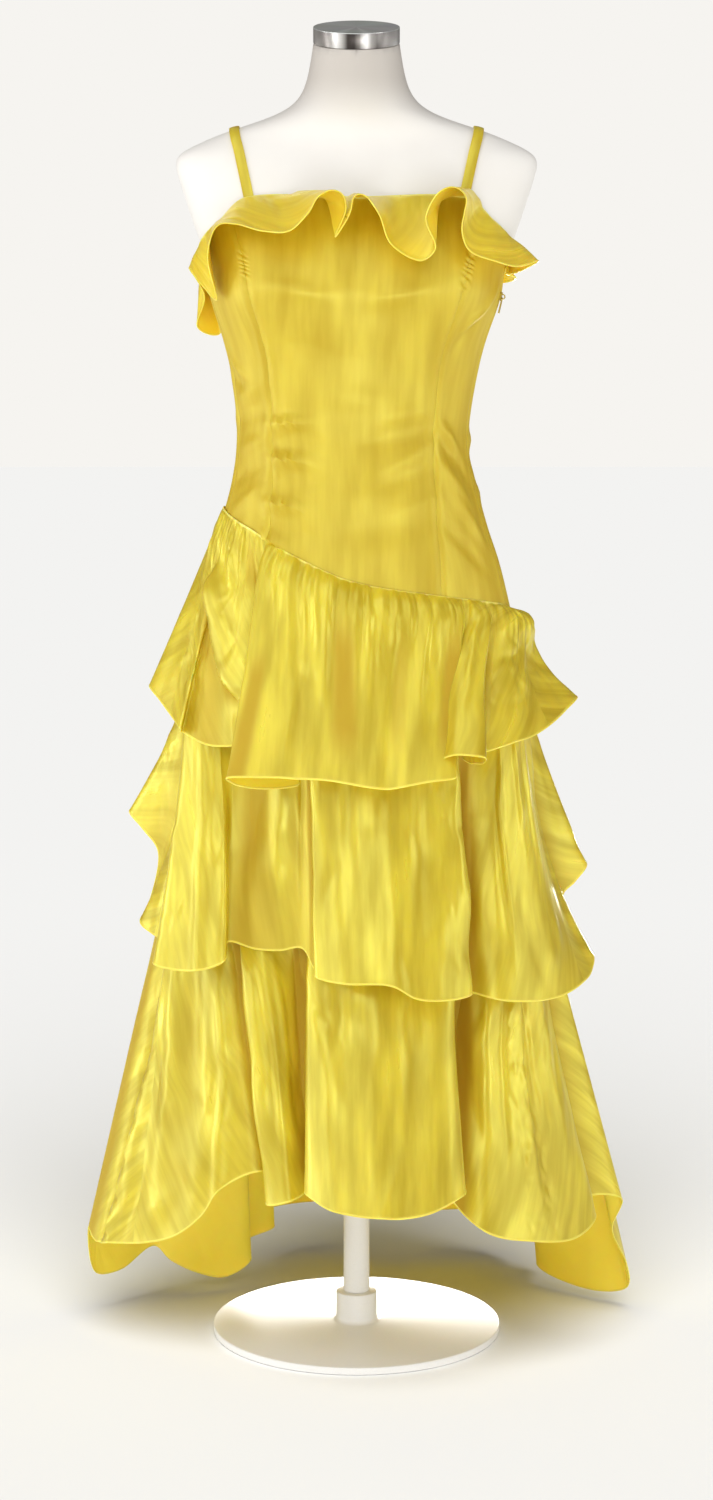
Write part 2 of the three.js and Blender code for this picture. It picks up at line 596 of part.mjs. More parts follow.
function bandGeometry(path, width, wall, side) {
  const centre = new THREE.Vector3(side * STRAP.shoulderX * 0.7, 16, 1180);
  const last = path.length - 1;
  const layer = (distance) => {
    const edges = [[], []];
    path.forEach((point, i) => {
      const along = path[Math.min(i + 1, last)].clone().sub(path[Math.max(i - 1, 0)]).normalize();
      const outward = point.clone().sub(centre).projectOnPlane(along);
      outward.x = side * Math.abs(outward.x) * 0.6;
      const across = along.clone().cross(outward.projectOnPlane(along).normalize());
      const up = across.clone().cross(along);
      edges[0].push(point.clone().addScaledVector(across, width / 2).addScaledVector(up, distance));
      edges[1].push(point.clone().addScaledVector(across, -width / 2).addScaledVector(up, distance));
    });
    return edges;
  };
  return wallGeometry(layer(wall / 2), layer(-wall / 2));
}

// ---------------------------------------------------------------- zip

function extruded(shape, depth) {
  const geometry = new THREE.ExtrudeGeometry(shape, { depth, bevelEnabled: false, curveSegments: 4 });
  return geometry.translate(0, 0, -depth / 2);
}

function roundedOutline(halfWidth, top, bottom, corner) {
  const outline = new THREE.Shape();
  outline.moveTo(-halfWidth + corner, bottom);
  outline.lineTo(halfWidth - corner, bottom);
  outline.quadraticCurveTo(halfWidth, bottom, halfWidth, bottom + corner);
  outline.lineTo(halfWidth, top - corner);
  outline.quadraticCurveTo(halfWidth, top, halfWidth - corner, top);
  outline.lineTo(-halfWidth + corner, top);
  outline.quadraticCurveTo(-halfWidth, top, -halfWidth, top - corner);
  outline.lineTo(-halfWidth, bottom + corner);
  outline.quadraticCurveTo(-halfWidth, bottom, -halfWidth + corner, bottom);
  return outline;
}

// The slider: a rounded body and the ring that holds the pull tab, joined as one solid.
// Its own axes: X across, Y up and Z out of the cloth.
function sliderGeometry(wasm) {
  const { width, height, depth, corner } = ZIP.body;
  const body = extruded(roundedOutline(width / 2, height / 2, -height / 2, corner), depth);
  body.translate(0, 0, depth / 2);
  const outline = new THREE.Shape();
  outline.absarc(0, 0, ZIP.ring.outer, 0, 2 * Math.PI);
  outline.holes.push(new THREE.Path().absarc(0, 0, ZIP.ring.inner, 0, 2 * Math.PI));
  const ring = extruded(outline, ZIP.ring.width).rotateY(Math.PI / 2).translate(0, 0, ZIP.ring.out);
  return joined(wasm, [body, ring]);
}

// The pull tab, hanging from the ring's centre: X across, Y up and Z out of the cloth.
function tabGeometry() {
  const { width, top, bottom, corner, wall } = ZIP.tab;
  const outline = roundedOutline(width / 2, top, bottom, corner);
  for (const hole of [ZIP.eye, ZIP.slot]) {
    outline.holes.push(roundedOutline(hole.halfWidth, hole.top, hole.bottom, hole.corner));
  }
  return extruded(outline, wall);
}

function joined(wasm, geometries) {
  const solids = geometries.map((geometry) => {
    const bare = new THREE.BufferGeometry();
    bare.setAttribute("position", geometry.getAttribute("position"));
    const merged = mergeVertices(bare, 1e-4);
    const mesh = new wasm.Mesh({
      numProp: 3,
      vertProperties: merged.attributes.position.array,
      triVerts: new Uint32Array(merged.index.array),
    });
    return new wasm.Manifold(mesh);
  });
  const mesh = solids.reduce((whole, solid) => whole.add(solid)).getMesh();
  const geometry = new THREE.BufferGeometry();
  geometry.setAttribute("position", new THREE.BufferAttribute(mesh.vertProperties, 3));
  geometry.setIndex(new THREE.BufferAttribute(mesh.triVerts, 1));
  return geometry;
}

// ---------------------------------------------------------------- dress form

function torsoGeometry() {
  const positions = [];
  const index = [];
  for (const z of FORM_RINGS) {
    for (let i = 0; i < FORM_SECTORS; i++) positions.push(...figurePoint((i * 360) / FORM_SECTORS, z, 0));
  }
  const at = (ring, i) => ring * FORM_SECTORS + (i % FORM_SECTORS);
  for (let ring = 0; ring < FORM_RINGS.length - 1; ring++) {
    for (let i = 0; i < FORM_SECTORS; i++) {
      index.push(at(ring, i), at(ring, i + 1), at(ring + 1, i + 1));
      index.push(at(ring, i), at(ring + 1, i + 1), at(ring + 1, i));
    }
  }
  const lastRing = FORM_RINGS.length - 1;
  for (let i = 1; i < FORM_SECTORS - 1; i++) {
    index.push(at(0, 0), at(0, i + 1), at(0, i));
    index.push(at(lastRing, 0), at(lastRing, i), at(lastRing, i + 1));
  }
  const geometry = new THREE.BufferGeometry();
  geometry.setAttribute("position", new THREE.Float32BufferAttribute(positions, 3));
  geometry.setIndex(index);
  return geometry;
}

// A solid of revolution about +Z from its profile of radius and height.
function turnedGeometry(profile, sides) {
  const geometry = new THREE.LatheGeometry(
    profile.map(([radius, height]) => new THREE.Vector2(radius, height)),
    sides,
  );
  return geometry.rotateX(Math.PI / 2);
}

function capGeometry() {
  const { radius, height, edge } = CAP;
  return turnedGeometry(
    [
      [0, 0],
      [radius - edge, 0],
      [radius, edge],
      [radius, height - edge],
      [radius - edge, height],
      [0, height],
    ],
    40,
  );
}

function baseGeometry() {
  const { radius, wall, boss, bossTop } = BASE;
  return turnedGeometry(
    [
      [0, 0],
      [radius - 2, 0],
      [radius, 2],
      [radius, wall - 2],
      [radius - 2, wall],
      [boss + 3, wall + 2],
      [boss, wall + 5],
      [boss, bossTop - 2],
      [boss - 2, bossTop],
      [0, bossTop],
    ],
    48,
  );
}

function poleGeometry() {
  const from = BASE.bossTop + SEAM_GAP;
  const to = FORM_RINGS[0] - SEAM_GAP;
  return turnedGeometry(
    [
      [0, from],
      [POLE.radius, from],
      [POLE.radius, to],
      [0, to],
    ],
    POLE.sides,
  );
}

// ---------------------------------------------------------------- the part

function add(group, name, geometry, finish) {
  const mesh = new THREE.Mesh(geometry, new THREE.MeshStandardMaterial(COLOURS[finish]));
  mesh.name = name;
  group.add(mesh);
  return mesh;
}

function dress(wasm) {
  const group = new THREE.Group();
  const cloth = (name, geometry) => add(group, name, geometry, "cloth");

  const rightSide = () => -SIDE_SEAM;
  const leftSide = () => SIDE_SEAM;
  cloth("bodice_front_centre", bodicePanel((z) => -frontPrincess(z), frontPrincess, 8, 10));
  cloth("bodice_side_front_right", bodicePanel(rightSide, (z) => -frontPrincess(z), 4, 10));
  cloth("bodice_side_front_left", bodicePanel(frontPrincess, leftSide, 4, 10));
  cloth("bodice_side_back_left", bodicePanel(leftSide, () => BACK_PRINCESS, 7, 9));
  cloth("bodice_side_back_right", bodicePanel(() => 360 - BACK_PRINCESS, () => 360 - SIDE_SEAM, 7, 9));
  cloth("bodice_back_centre", bodicePanel(() => BACK_PRINCESS, () => 360 - BACK_PRINCESS, 6, 9));
  cloth("strap_right", strapGeometry(-1));
  cloth("strap_left", strapGeometry(1));

  const aroundBack = 360 - SIDE_SEAM;
  const lapped = (table, surface) => (angle) => surface(angle, heightOf(table, angle) + SEAM_LAP, LAP_MID);
  const ruffleSeam = (angle) => figurePoint(angle, heightOf(TOP_EDGE, angle) - 1, LAP_MID);
  const flounces = [
    ["neck_ruffle", RUFFLE_FOLDS, BACK_FOLDS.ruffle, ruffleSeam, 0.8, [0, 0.25, 0.6, 1]],
    ["tier_1", TIER_1_FOLDS, BACK_FOLDS.tier1, lapped(DROPPED_SEAM, figurePoint), 1.05, [0, 0.12, 0.32, 0.62, 1]],
    ["tier_2", TIER_2_FOLDS, BACK_FOLDS.tier2, lapped(TIER_2_SEAM, baseSkirtPoint), 1.1, [0, 0.12, 0.32, 0.62, 1]],
    ["tier_3", TIER_3_FOLDS, BACK_FOLDS.tier3, lapped(TIER_3_SEAM, baseSkirtPoint), 1.15, [0, 0.1, 0.3, 0.62, 1]],
  ];
  for (const [name, seen, unseen, seamPoint, flare, downs] of flounces) {
    const folds = [...seen, ...backFolds(unseen, baseSkirtPoint)];
    const surface = flounce(folds, seamPoint, flare);
    cloth(name + "_front", flouncePiece(surface, -SIDE_SEAM, SIDE_SEAM, downs));
    cloth(name + "_back", flouncePiece(surface, SIDE_SEAM, aroundBack, downs));
  }
  cloth("base_skirt_front", baseSkirtPiece(-SIDE_SEAM, SIDE_SEAM, 18, 8));
  cloth("base_skirt_back", baseSkirtPiece(SIDE_SEAM, aroundBack, 22, 8));

  group.add(zip(wasm));
  return group;
}

// The zip's slider and pull tab, turned to lie on the side seam.
function zip(wasm) {
  const seat = figurePoint(SIDE_SEAM, ZIP.z, BODICE_CLEAR + CLOTH + SEAM_GAP - ZIP.sink);
  const out = figureNormal(SIDE_SEAM, ZIP.z);
  const across = new THREE.Vector3(0, 0, 1).cross(out).normalize();
  const up = out.clone().cross(across);
  const group = new THREE.Group();
  group.applyMatrix4(new THREE.Matrix4().makeBasis(across, up, out));
  group.position.copy(seat);
  add(group, "zip_slider", sliderGeometry(wasm), "zip");
  const tab = add(group, "zip_pull_tab", tabGeometry(), "zip");
  tab.position.z = ZIP.ring.out;
  return group;
}

function form() {
  const group = new THREE.Group();
  add(group, "form_torso", torsoGeometry(), "form");
  const cap = add(group, "form_neck_cap", capGeometry(), "steel");
  cap.rotation.x = CAP.tilt * DEG;
  const neck = FIGURE[FIGURE.length - 1];
  cap.position.set(0, neck.shift, neck.z + 2 * SEAM_GAP);
  add(group, "form_pole", poleGeometry(), "lacquer");
  add(group, "form_base", baseGeometry(), "lacquer");
  return group;
}

const wasm = await Module();
wasm.setup();
const part = new THREE.Group();
part.add(dress(wasm), form());
export default part;
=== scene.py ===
"""A strappy high-low dress in yellow satin organza, worn by a limbless dress form.

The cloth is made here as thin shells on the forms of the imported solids, with finer folds, gathers,
seams and hems. Sizes are in millimetres until a mesh is made. The front of the dress faces -Y, the
wearer's left is +X, and angles round the body are 0 at the front and +90 at the wearer's left.
"""

import json
import math

import bmesh
import bpy
import numpy as np
from mathutils import Matrix, Vector

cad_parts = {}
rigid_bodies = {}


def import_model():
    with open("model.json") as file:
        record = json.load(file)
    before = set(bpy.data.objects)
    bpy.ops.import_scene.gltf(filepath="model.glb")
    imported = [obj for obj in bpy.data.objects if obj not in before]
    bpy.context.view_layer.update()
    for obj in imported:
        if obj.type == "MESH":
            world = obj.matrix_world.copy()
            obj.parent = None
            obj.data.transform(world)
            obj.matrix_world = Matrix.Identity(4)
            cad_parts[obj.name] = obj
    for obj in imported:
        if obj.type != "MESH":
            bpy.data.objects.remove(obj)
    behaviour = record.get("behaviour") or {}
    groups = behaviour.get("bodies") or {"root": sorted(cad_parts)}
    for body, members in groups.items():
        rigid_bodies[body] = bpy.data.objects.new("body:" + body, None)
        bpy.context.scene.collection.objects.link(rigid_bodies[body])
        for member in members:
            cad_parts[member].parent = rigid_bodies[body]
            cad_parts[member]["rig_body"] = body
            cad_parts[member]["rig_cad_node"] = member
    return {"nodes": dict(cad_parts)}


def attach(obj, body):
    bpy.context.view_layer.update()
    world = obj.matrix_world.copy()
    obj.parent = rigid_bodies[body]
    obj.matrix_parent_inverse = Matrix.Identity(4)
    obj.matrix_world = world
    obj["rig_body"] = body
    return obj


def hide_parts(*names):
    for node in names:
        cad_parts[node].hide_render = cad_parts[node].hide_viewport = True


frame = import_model()
bpy.ops.object.select_all(action="DESELECT")
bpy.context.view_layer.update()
MM = 0.001
SHARP = {"cloth": 50, "torso": 60, "turned": 30}  # edges that bend more degrees stay sharp

# ---------------------------------------------------------------- sizes of the cut

SHELL = 0.9  # thickness of the cloth shells
BODICE_MID = 2.75  # from the form to the middle of the bodice's cloth
LAP_MID = 5.05  # from the form to the middle of a flounce where it is sewn on
SEAM_LAP = 4  # height by which a flounce covers the edge it is sewn to
SEAM_HALF_GAP = 0.15  # half of the gap between two pieces that are sewn edge to edge
FOLD_ROOM = 3  # least room between a flounce's folds and the skirt below them
SIDE_SEAM = 78
BACK_PRINCESS = 148
HIP_Z = 740
# The rolled hem's width and thickness, where and over what height it thickens, and how its edge is
# rounded: the share of its width that is round, and the least share of its thickness, squared.
HEM = {"roll": 1.9, "thick": 1.4, "lead": 0.2, "step": 0.5, "round": 0.3, "least": 0.12}
STRAP = {
    "width": 10.5, "wall": 1.3, "crown": 0.25, "clear": 1.3, "tuck": 0.75, "above": -7,
    "front": 107, "shoulder": 126, "back": 84, "rows": 44, "columns": 15,
}
# The point from which the straps face away, x as a share of the shoulder's, and how much of that
# way is sideways.
STRAP_FACES = {"x": 0.7, "y": 16, "z": 1180, "aside": 0.6}
BUST = {"angle": 36, "spread": 28, "z": 1112, "above": 52, "below": 46, "lift": 15}
HIP_SHIFT = 4  # from the frame's middle back to the middle of the hips


def table(columns, *rows):
    """A table with named columns. A row may leave out its last values, which become NaN."""
    names = columns.split()
    filled = [tuple(row) + (math.nan,) * (len(names) - len(row)) for row in rows]
    return {name: np.array(column, float) for name, column in zip(names, zip(*filled))}


# The figure, by height: half width, shift of the centre to the left, half depth to the front and to
# the back, shift of the centre to the back, and forward tilt of the section.
FIGURE = table(
    "z side aside front back shift tilt",
    (600, 150, 0, 94, 122, 4, 0),
    (650, 163, 0, 99, 127, 4, 0),
    (740, 168, 0, 102, 130, 4, 0),
    (782, 162, -3, 100, 124, 4, 0),
    (830, 150, -3, 96, 114, 2, 0),
    (869, 137, -3, 92, 104, 0, 0),
    (917, 124, -3, 88, 94, 0, 0),
    (958, 118, -4, 86, 90, 0, 0),
    (1000, 121, -3, 89, 90, 0, 0),
    (1056, 132, -2, 100, 92, 0, 0),
    (1105, 147, -1, 110, 94, 0, 0),
    (1135, 151, 0, 110, 96, 2, 0),
    (1165, 164, 0, 104, 98, 4, 0),
    (1190, 173, 0, 95, 97, 8, 0),
    (1215, 181, 0, 84, 92, 12, 0),
    (1240, 189, 0, 70, 80, 15, 0),
    (1252, 186, 0, 62, 70, 16, 0),
    (1264, 163, 0, 55, 61, 16, 0),
    (1275, 136, 0, 52, 56, 16, 0),
    (1288, 96, 0, 52, 54, 15, 1),
    (1299, 71, 0, 53, 54, 13, 3),
    (1312, 57, 0, 53, 54, 10, 7),
    (1330, 50, 0, 50, 51, 6, 12),
    (1364, 44.5, 0, 44.5, 44.5, 0, 15.5),
)
# The base skirt below the hips.
BASE_SKIRT = table(
    "z side aside front back shift",
    (420, 184, 0, 112, 146, 4),
    (520, 180, 0, 108, 142, 4),
    (620, 174, 0, 104, 134, 4),
    (740, 168, 0, 102, 130, 4),
)
# Heights of the bodice's top edge and of the seams of the three tiers, by angle.
TOP_EDGE = table(
    "angle z",
    (-180, 1142), (-120, 1146), (-90, 1152), (-72, 1162), (-52, 1182), (-38, 1204), (0, 1203),
    (38, 1204), (52, 1182), (72, 1162), (90, 1152), (120, 1146), (180, 1142),
)
DROPPED_SEAM = table(
    "angle z",
    (-180, 838), (-130, 872), (-90, 885), (-50, 866), (-22, 836), (0, 812),
    (32, 797), (66, 786), (90, 776), (130, 794), (180, 838),
)
TIER_2_SEAM = table(
    "angle z", (-180, 700), (-90, 742), (-50, 705), (0, 664), (50, 690), (90, 728), (180, 700)
)
TIER_3_SEAM = table(
    "angle z",
    (-180, 586), (-110, 598), (-90, 570), (-60, 500), (0, 474),
    (50, 466), (90, 520), (115, 560), (180, 586),
)
FRONT_PRINCESS = table(
    "z angle", (800, 34), (868, 38), (958, 43), (1060, 42), (1105, 41), (1145, 44), (1206, 47)
)

# Folds of the flounces: the angle at which a fold leaves the seam and where it ends at the hem.
# Puff is how far the gathers stand out below the seam, and a flare over 1 turns the fold out lower
# down.
RUFFLE_FOLDS = table(
    "seam x y z puff flare",
    (-107, -146, 50, 1068), (-98, -167, 28, 1075), (-89, -158, 4, 1106), (-80, -173, -22, 1134),
    (-74, -160, -48, 1118), (-66, -142, -72, 1100), (-58, -150, -88, 1142),
    (-52, -140, -104, 1172), (-44, -120, -122, 1173), (-36, -92, -140, 1165),
    (-29, -66, -150, 1166), (-25, -48, -153, 1181), (-22, -36, -152, 1198),
    (-17, -15, -146, 1199), (-13, -10, -136, 1187), (-9, -21, -128, 1160), (-5, -9, -138, 1177),
    (-1, 1, -150, 1197), (4, 9, -154, 1197), (9, 22, -152, 1181), (14, 34, -146, 1152),
    (21, 64, -142, 1136), (27, 78, -138, 1148), (31, 68, -144, 1178), (35, 80, -142, 1197),
    (40, 102, -130, 1197), (44, 102, -118, 1174), (49, 112, -112, 1148), (55, 140, -102, 1137),
    (62, 162, -84, 1133), (70, 186, -52, 1140), (77, 167, -26, 1130), (85, 159, -4, 1129),
    (93, 158, 16, 1130),
)
TIER_1_FOLDS = table(
    "seam x y z puff flare",
    (-90, -219, 0, 700), (-83, -205, -30, 686), (-76, -191, -54, 671), (-71, -182, -74, 662),
    (-67, -181, -62, 658), (-58, -155, -84, 647), (-51, -132, -108, 648), (-45, -110, -126, 652),
    (-41, -83, -134, 629, 0, 1.3), (-39, -58, -142, 614, 0, 1.3), (-37, -107, -166, 613, 4),
    (-35.5, -131, -178, 624, 8), (-28, -94, -192, 627, 12), (-8, -31, -198, 625, 12),
    (14, 27, -200, 617, 12), (31, 73, -194, 623, 12), (40, 99, -184, 626, 12),
    (43, 80, -168, 636, 2), (46, 96, -184, 648, 12), (50, 126, -182, 645, 16),
    (53, 116, -154, 636, 4, 1.3), (57, 108, -138, 640, 2, 1.4), (61, 135, -128, 646, 4),
    (67, 164, -108, 653, 8), (73, 182, -84, 656, 12), (79, 203, -52, 665, 16, 1.5),
    (85, 220, -22, 676, 20, 1.6), (92, 234, 12, 687, 18, 1.5),
)
TIER_2_FOLDS = table(
    "seam x y z puff flare",
    (-101, -245, 45, 560, 0, 1.5), (-95, -230, 28, 543, 0, 1.6), (-90, -212, 12, 520, 0, 2.2),
    (-86, -222, -2, 465, 0, 2.6), (-82, -230, -16, 449, 0, 2.6), (-77, -206, -40, 436, 0, 1.9),
    (-71, -190, -66, 430), (-66, -204, -88, 418, 6), (-61, -182, -112, 416, 10),
    (-55, -155, -132, 421, 10), (-51, -135, -138, 431, 8), (-46, -132, -112, 446, 2, 1.5),
    (-37, -104, -120, 440, 0, 1.3), (-28, -78, -128, 440, 0, 1.3), (-19, -56, -136, 444, 0, 1.4),
    (-13, -38, -164, 421, 8), (-6, -12, -192, 418, 14), (4, 33, -206, 419, 16),
    (14, 61, -208, 406, 16), (24, 94, -198, 403, 18), (30, 116, -178, 405, 18),
    (34, 104, -144, 410, 2, 1.4), (42, 118, -136, 399, 0, 1.5), (51, 147, -140, 391, 6),
    (60, 178, -128, 387, 8), (69, 211, -98, 386, 4), (77, 236, -62, 392, 0, 1.7),
    (84, 250, -22, 401, 0, 2.5), (89, 242, 8, 426, 0, 2.7), (94, 223, 24, 471, 0, 1.9),
    (98, 236, 40, 483, 0, 1.4), (103, 250, 58, 501, 0, 1.3),
)
TIER_3_FOLDS = table(
    "seam x y z puff flare",
    (-143, -95, 205, 52), (-137, -129, 172, 43), (-131, -120, 146, 30), (-125, -148, 127, 16),
    (-120, -178, 116, 24), (-115, -209, 110, 41), (-111, -227, 112, 57), (-107, -262, 86, 38),
    (-103, -288, 60, 42, 0, 1), (-97, -292, 20, 105, 0, 1), (-90, -280, -20, 102, 0, 1),
    (-83, -255, -48, 108), (-74, -217, -86, 120, 2), (-66, -189, -112, 135, 4),
    (-58, -164, -130, 158, 4), (-51, -138, -134, 192, 2), (-45, -97, -146, 213, 0, 1.4),
    (-41, -80, -146, 204, 0, 1.4), (-38, -92, -172, 186, 8), (-30, -67, -190, 194, 12),
    (-21, -46, -162, 202, 0, 1.4), (-17, -52, -180, 214, 0, 1.4), (-13, -42, -220, 207, 12),
    (-9, -26, -246, 201, 16), (-2, -9, -256, 199, 16), (8, 28, -263, 196, 16),
    (18, 73, -256, 200, 16), (25, 102, -232, 211, 18), (28, 93, -190, 214, 4, 1.3),
    (35, 99, -174, 188, 0, 1.5), (44, 133, -186, 160, 6), (56, 180, -168, 146, 8),
    (69, 227, -124, 136, 4), (77, 250, -84, 146), (81, 243, -58, 160), (86, 285, -20, 148, 0, 1),
    (91, 277, 4, 108, 0, 1), (96, 296, 34, 60, 0, 1), (104, 299, 70, 21, 0, 1),
    (112, 262, 100, 10), (120, 206, 150, 22), (127, 214, 186, 36),
)
# The folds at the back, made by a rule: how many, between which seam angles, how far their crests
# and hollows stand off the body at the hem, and the hem's height from left to right.
BACK_FOLDS = {
    "neck_ruffle": {
        "count": 5, "span": (102, 244), "crest": 32, "hollow": 11, "z": (1130, 1098, 1082),
    },
    "tier_1": {"count": 4, "span": (103, 258), "crest": 62, "hollow": 31, "z": (672, 636, 690)},
    "tier_2": {"count": 4, "span": (114, 248), "crest": 96, "hollow": 42, "z": (510, 514, 556)},
    "tier_3": {"count": 2, "span": (138, 206), "crest": 140, "hollow": 82, "z": (50, 60, 62)},
}
CREST_SPREAD = 3.5  # degrees by which a back fold's crest is wider than its hollow

# ---------------------------------------------------------------- curves and the figure


def lerp(start, end, share):
    return start + (end - start) * share


def ease(share):
    """0 to 1, leaving and arriving level."""
    t = np.clip(share, 0, 1)
    return t * t * (3 - 2 * t)


def bell(value, middle, width):
    """1 at the middle, falling away smoothly on both sides."""
    share = (value - middle) / width
    return np.exp(-share * share)


def hermite(start, slope_in, end, slope_out, t):
    t2, t3 = t * t, t * t * t
    return (
        start * (2 * t3 - 3 * t2 + 1) + slope_in * (t3 - 2 * t2 + t)
        + end * (3 * t2 - 2 * t3) + slope_out * (t3 - t2)
    )


def row_at(rows, key, values):
    """The rows' columns at any values of one of them, on a smooth curve through the rows."""
    stops = rows[key]
    last = len(stops) - 1
    at = np.clip(values, stops[0], stops[last])
    i = np.searchsorted(stops[1:last], at, side="left")
    before, to, after = np.maximum(i - 1, 0), i + 1, np.minimum(i + 2, last)
    span = stops[to] - stops[i]
    t = (at - stops[i]) / span
    made = {}
    for name, column in rows.items():
        slope_in = (column[to] - column[before]) / (stops[to] - stops[before]) * span
        slope_out = (column[after] - column[i]) / (stops[after] - stops[i]) * span
        made[name] = hermite(column[i], slope_in, column[to], slope_out, t)
    return made


def turned(angle):
    """An angle brought between -180 and 180 degrees."""
    return angle - 360 * np.round(np.asarray(angle, float) / 360)


def height_of(edge, angle):
    return row_at(edge, "angle", turned(angle))["z"]


def section_point(section, angle, z, offset):
    turn = np.radians(angle)
    depth = np.where(np.cos(turn) > 0, section["front"], section["back"])
    x = section["aside"] + (section["side"] + offset) * np.sin(turn)
    y = section["shift"] - (depth + offset) * np.cos(turn)
    return np.stack(np.broadcast_arrays(x, y, np.asarray(z, float)), axis=-1)


def bust_lift(angle, z):
    aside = (np.abs(turned(angle)) - BUST["angle"]) / BUST["spread"]
    along = (z - BUST["z"]) / np.where(z > BUST["z"], BUST["above"], BUST["below"])
    return BUST["lift"] * np.exp(-aside * aside - along * along)


def figure_point(angle, z, offset):
    """A point on the figure at an angle round the body and a height, moved out by an offset."""
    angle, z = np.broadcast_arrays(np.asarray(angle, float), np.asarray(z, float))
    section = row_at(FIGURE, "z", z)
    point = section_point(section, angle, z, offset + bust_lift(angle, z))
    point[..., 2] += (point[..., 1] - section["shift"]) * np.tan(np.radians(section["tilt"]))
    return point


def unit(vectors):
    return vectors / np.maximum(np.linalg.norm(vectors, axis=-1, keepdims=True), 1e-9)


def figure_normal(angle, z):
    step = 0.5
    across = figure_point(angle + step, z, 0) - figure_point(angle - step, z, 0)
    up = figure_point(angle, z + step, 0) - figure_point(angle, z - step, 0)
    return unit(np.cross(across, up))


def base_skirt_point(angle, z, offset):
    """A point on the base skirt, which follows the figure down to the hips."""
    angle, z = np.broadcast_arrays(np.asarray(angle, float), np.asarray(z, float))
    skirt = section_point(row_at(BASE_SKIRT, "z", z), angle, z, offset)
    return np.where((z > HIP_Z)[..., None], figure_point(angle, z, offset), skirt)


def kept_out(points, room):
    """Moves points that would sink into the body or the base skirt out onto it."""
    x, y, z = points[..., 0], points[..., 1], points[..., 2]
    body, skirt = row_at(FIGURE, "z", z), row_at(BASE_SKIRT, "z", z)
    section = {name: np.where(z > HIP_Z, body[name], skirt[name]) for name in skirt}
    depth = np.where(y < section["shift"], section["front"], section["back"])
    aside = (x - section["aside"]) / (section["side"] + room)
    ahead = (y - section["shift"]) / (depth + room)
    reach = np.clip(np.hypot(aside, ahead), 1e-6, 1)
    out_x = section["aside"] + (x - section["aside"]) / reach
    out_y = section["shift"] + (y - section["shift"]) / reach
    return np.stack([out_x, out_y, z], axis=-1)


# ---------------------------------------------------------------- closed walls


def grid_normals(middle):
    across = np.gradient(middle, axis=0)
    down = np.gradient(middle, axis=1)
    return unit(np.cross(down, across))


def lengths(points, axis):
    """The distance along one axis of a grid, from its start."""
    steps = np.linalg.norm(np.diff(points, axis=axis), axis=-1)
    start = [(0, 0), (0, 0)]
    start[axis] = (1, 0)
    return np.pad(np.cumsum(steps, axis=axis), start)


def grid_faces(columns, rows, start, flip):
    i, j = np.meshgrid(np.arange(columns - 1), np.arange(rows - 1), indexing="ij")
    a = (start + i * rows + j).ravel()
    quads = np.stack([a, a + 1, a + rows + 1, a + rows], axis=1)
    return quads[:, ::-1] if flip else quads


def rim_faces(columns, rows):
    """The faces that close the four edges between the outer grid and the inner one."""
    inner = columns * rows
    top = np.arange(columns) * rows
    bottom = top + rows - 1
    left = np.arange(rows)
    right = (columns - 1) * rows + np.arange(rows)
    rims = []
    for edge, flip in ((top, False), (bottom, True), (left, True), (right, False)):
        a, b = edge[:-1], edge[1:]
        quads = np.stack([a, b, b + inner, a + inner], axis=1)
        rims.append(quads[:, ::-1] if flip else quads)
    return np.concatenate(rims)


def cloth_wall(name, middle, thick, material, hollow=0.0, lit=(0.0, 1.0), inner_hollow=0.0):
    """A closed wall of cloth round its middle grid, whose columns run left and rows run down. Lit
    says how far the outer and the inner face take a brighter yellow painted as cloth lit from
    behind. Hollow and inner_hollow say how much painted shade of the folds the two faces take."""
    columns, rows = middle.shape[:2]
    normals = grid_normals(middle)
    half = np.broadcast_to(np.asarray(thick, float) / 2, middle.shape[:2])[..., None]
    points = np.concatenate([middle + normals * half, middle - normals * half]).reshape(-1, 3)
    count = columns * rows
    faces = np.concatenate([
        grid_faces(columns, rows, 0, False),
        grid_faces(columns, rows, count, True),
        rim_faces(columns, rows),
    ])
    mesh = bpy.data.meshes.new(name)
    mesh.from_pydata((points * MM).tolist(), [], faces.tolist())
    across, down = lengths(middle, 0), lengths(middle, 1)
    across = across - across[columns // 2 : columns // 2 + 1]
    corner = np.array([loop.vertex_index for loop in mesh.loops]) % count
    uv = np.stack([across.ravel()[corner] * MM, down.ravel()[corner] * MM], axis=1)
    uv_layer = mesh.uv_layers.new(name="cloth")
    uv_layer.data.foreach_set("uv", uv.astype(np.float32).ravel())
    to_edge = (down[:, -1:] - down) * MM
    outer_hollow = np.broadcast_to(hollow, (columns, rows)).ravel()
    for attribute, values in (
        # inside: a brighter yellow painted as light coming through from behind
        ("inside", np.repeat(lit, count)),
        ("from_hem", np.tile(to_edge.ravel(), 2)),
        # hollow: painted shade of the folds
        ("hollow", np.concatenate([outer_hollow, np.full(count, inner_hollow)])),
    ):
        layer = mesh.attributes.new(attribute, "FLOAT", "POINT")
        layer.data.foreach_set("value", values.astype(np.float32))
    mesh.materials.append(material)
    obj = bpy.data.objects.new(name, mesh)
    bpy.context.scene.collection.objects.link(obj)
    smooth_by_angle(obj, SHARP["cloth"])
    return obj


def smooth_by_angle(obj, degrees):
    bpy.ops.object.select_all(action="DESELECT")
    bpy.context.view_layer.objects.active = obj
    obj.select_set(True)
    bpy.ops.object.shade_smooth_by_angle(angle=math.radians(degrees))
    obj.select_set(False)


def wear(obj, node, body="dress_on_form"):
    """The piece moves with its body and stands for its solid, which is hidden."""
    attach(obj, body)
    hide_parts(node)
    return obj


# ---------------------------------------------------------------- creases

FAINT = 1e-3  # below this strength a crease isn't laid
FADES = {"crease": (0.3, 0.55), "deepen": (0.3, 0.3), "fold": (0.25, 0.3)}  # at either end
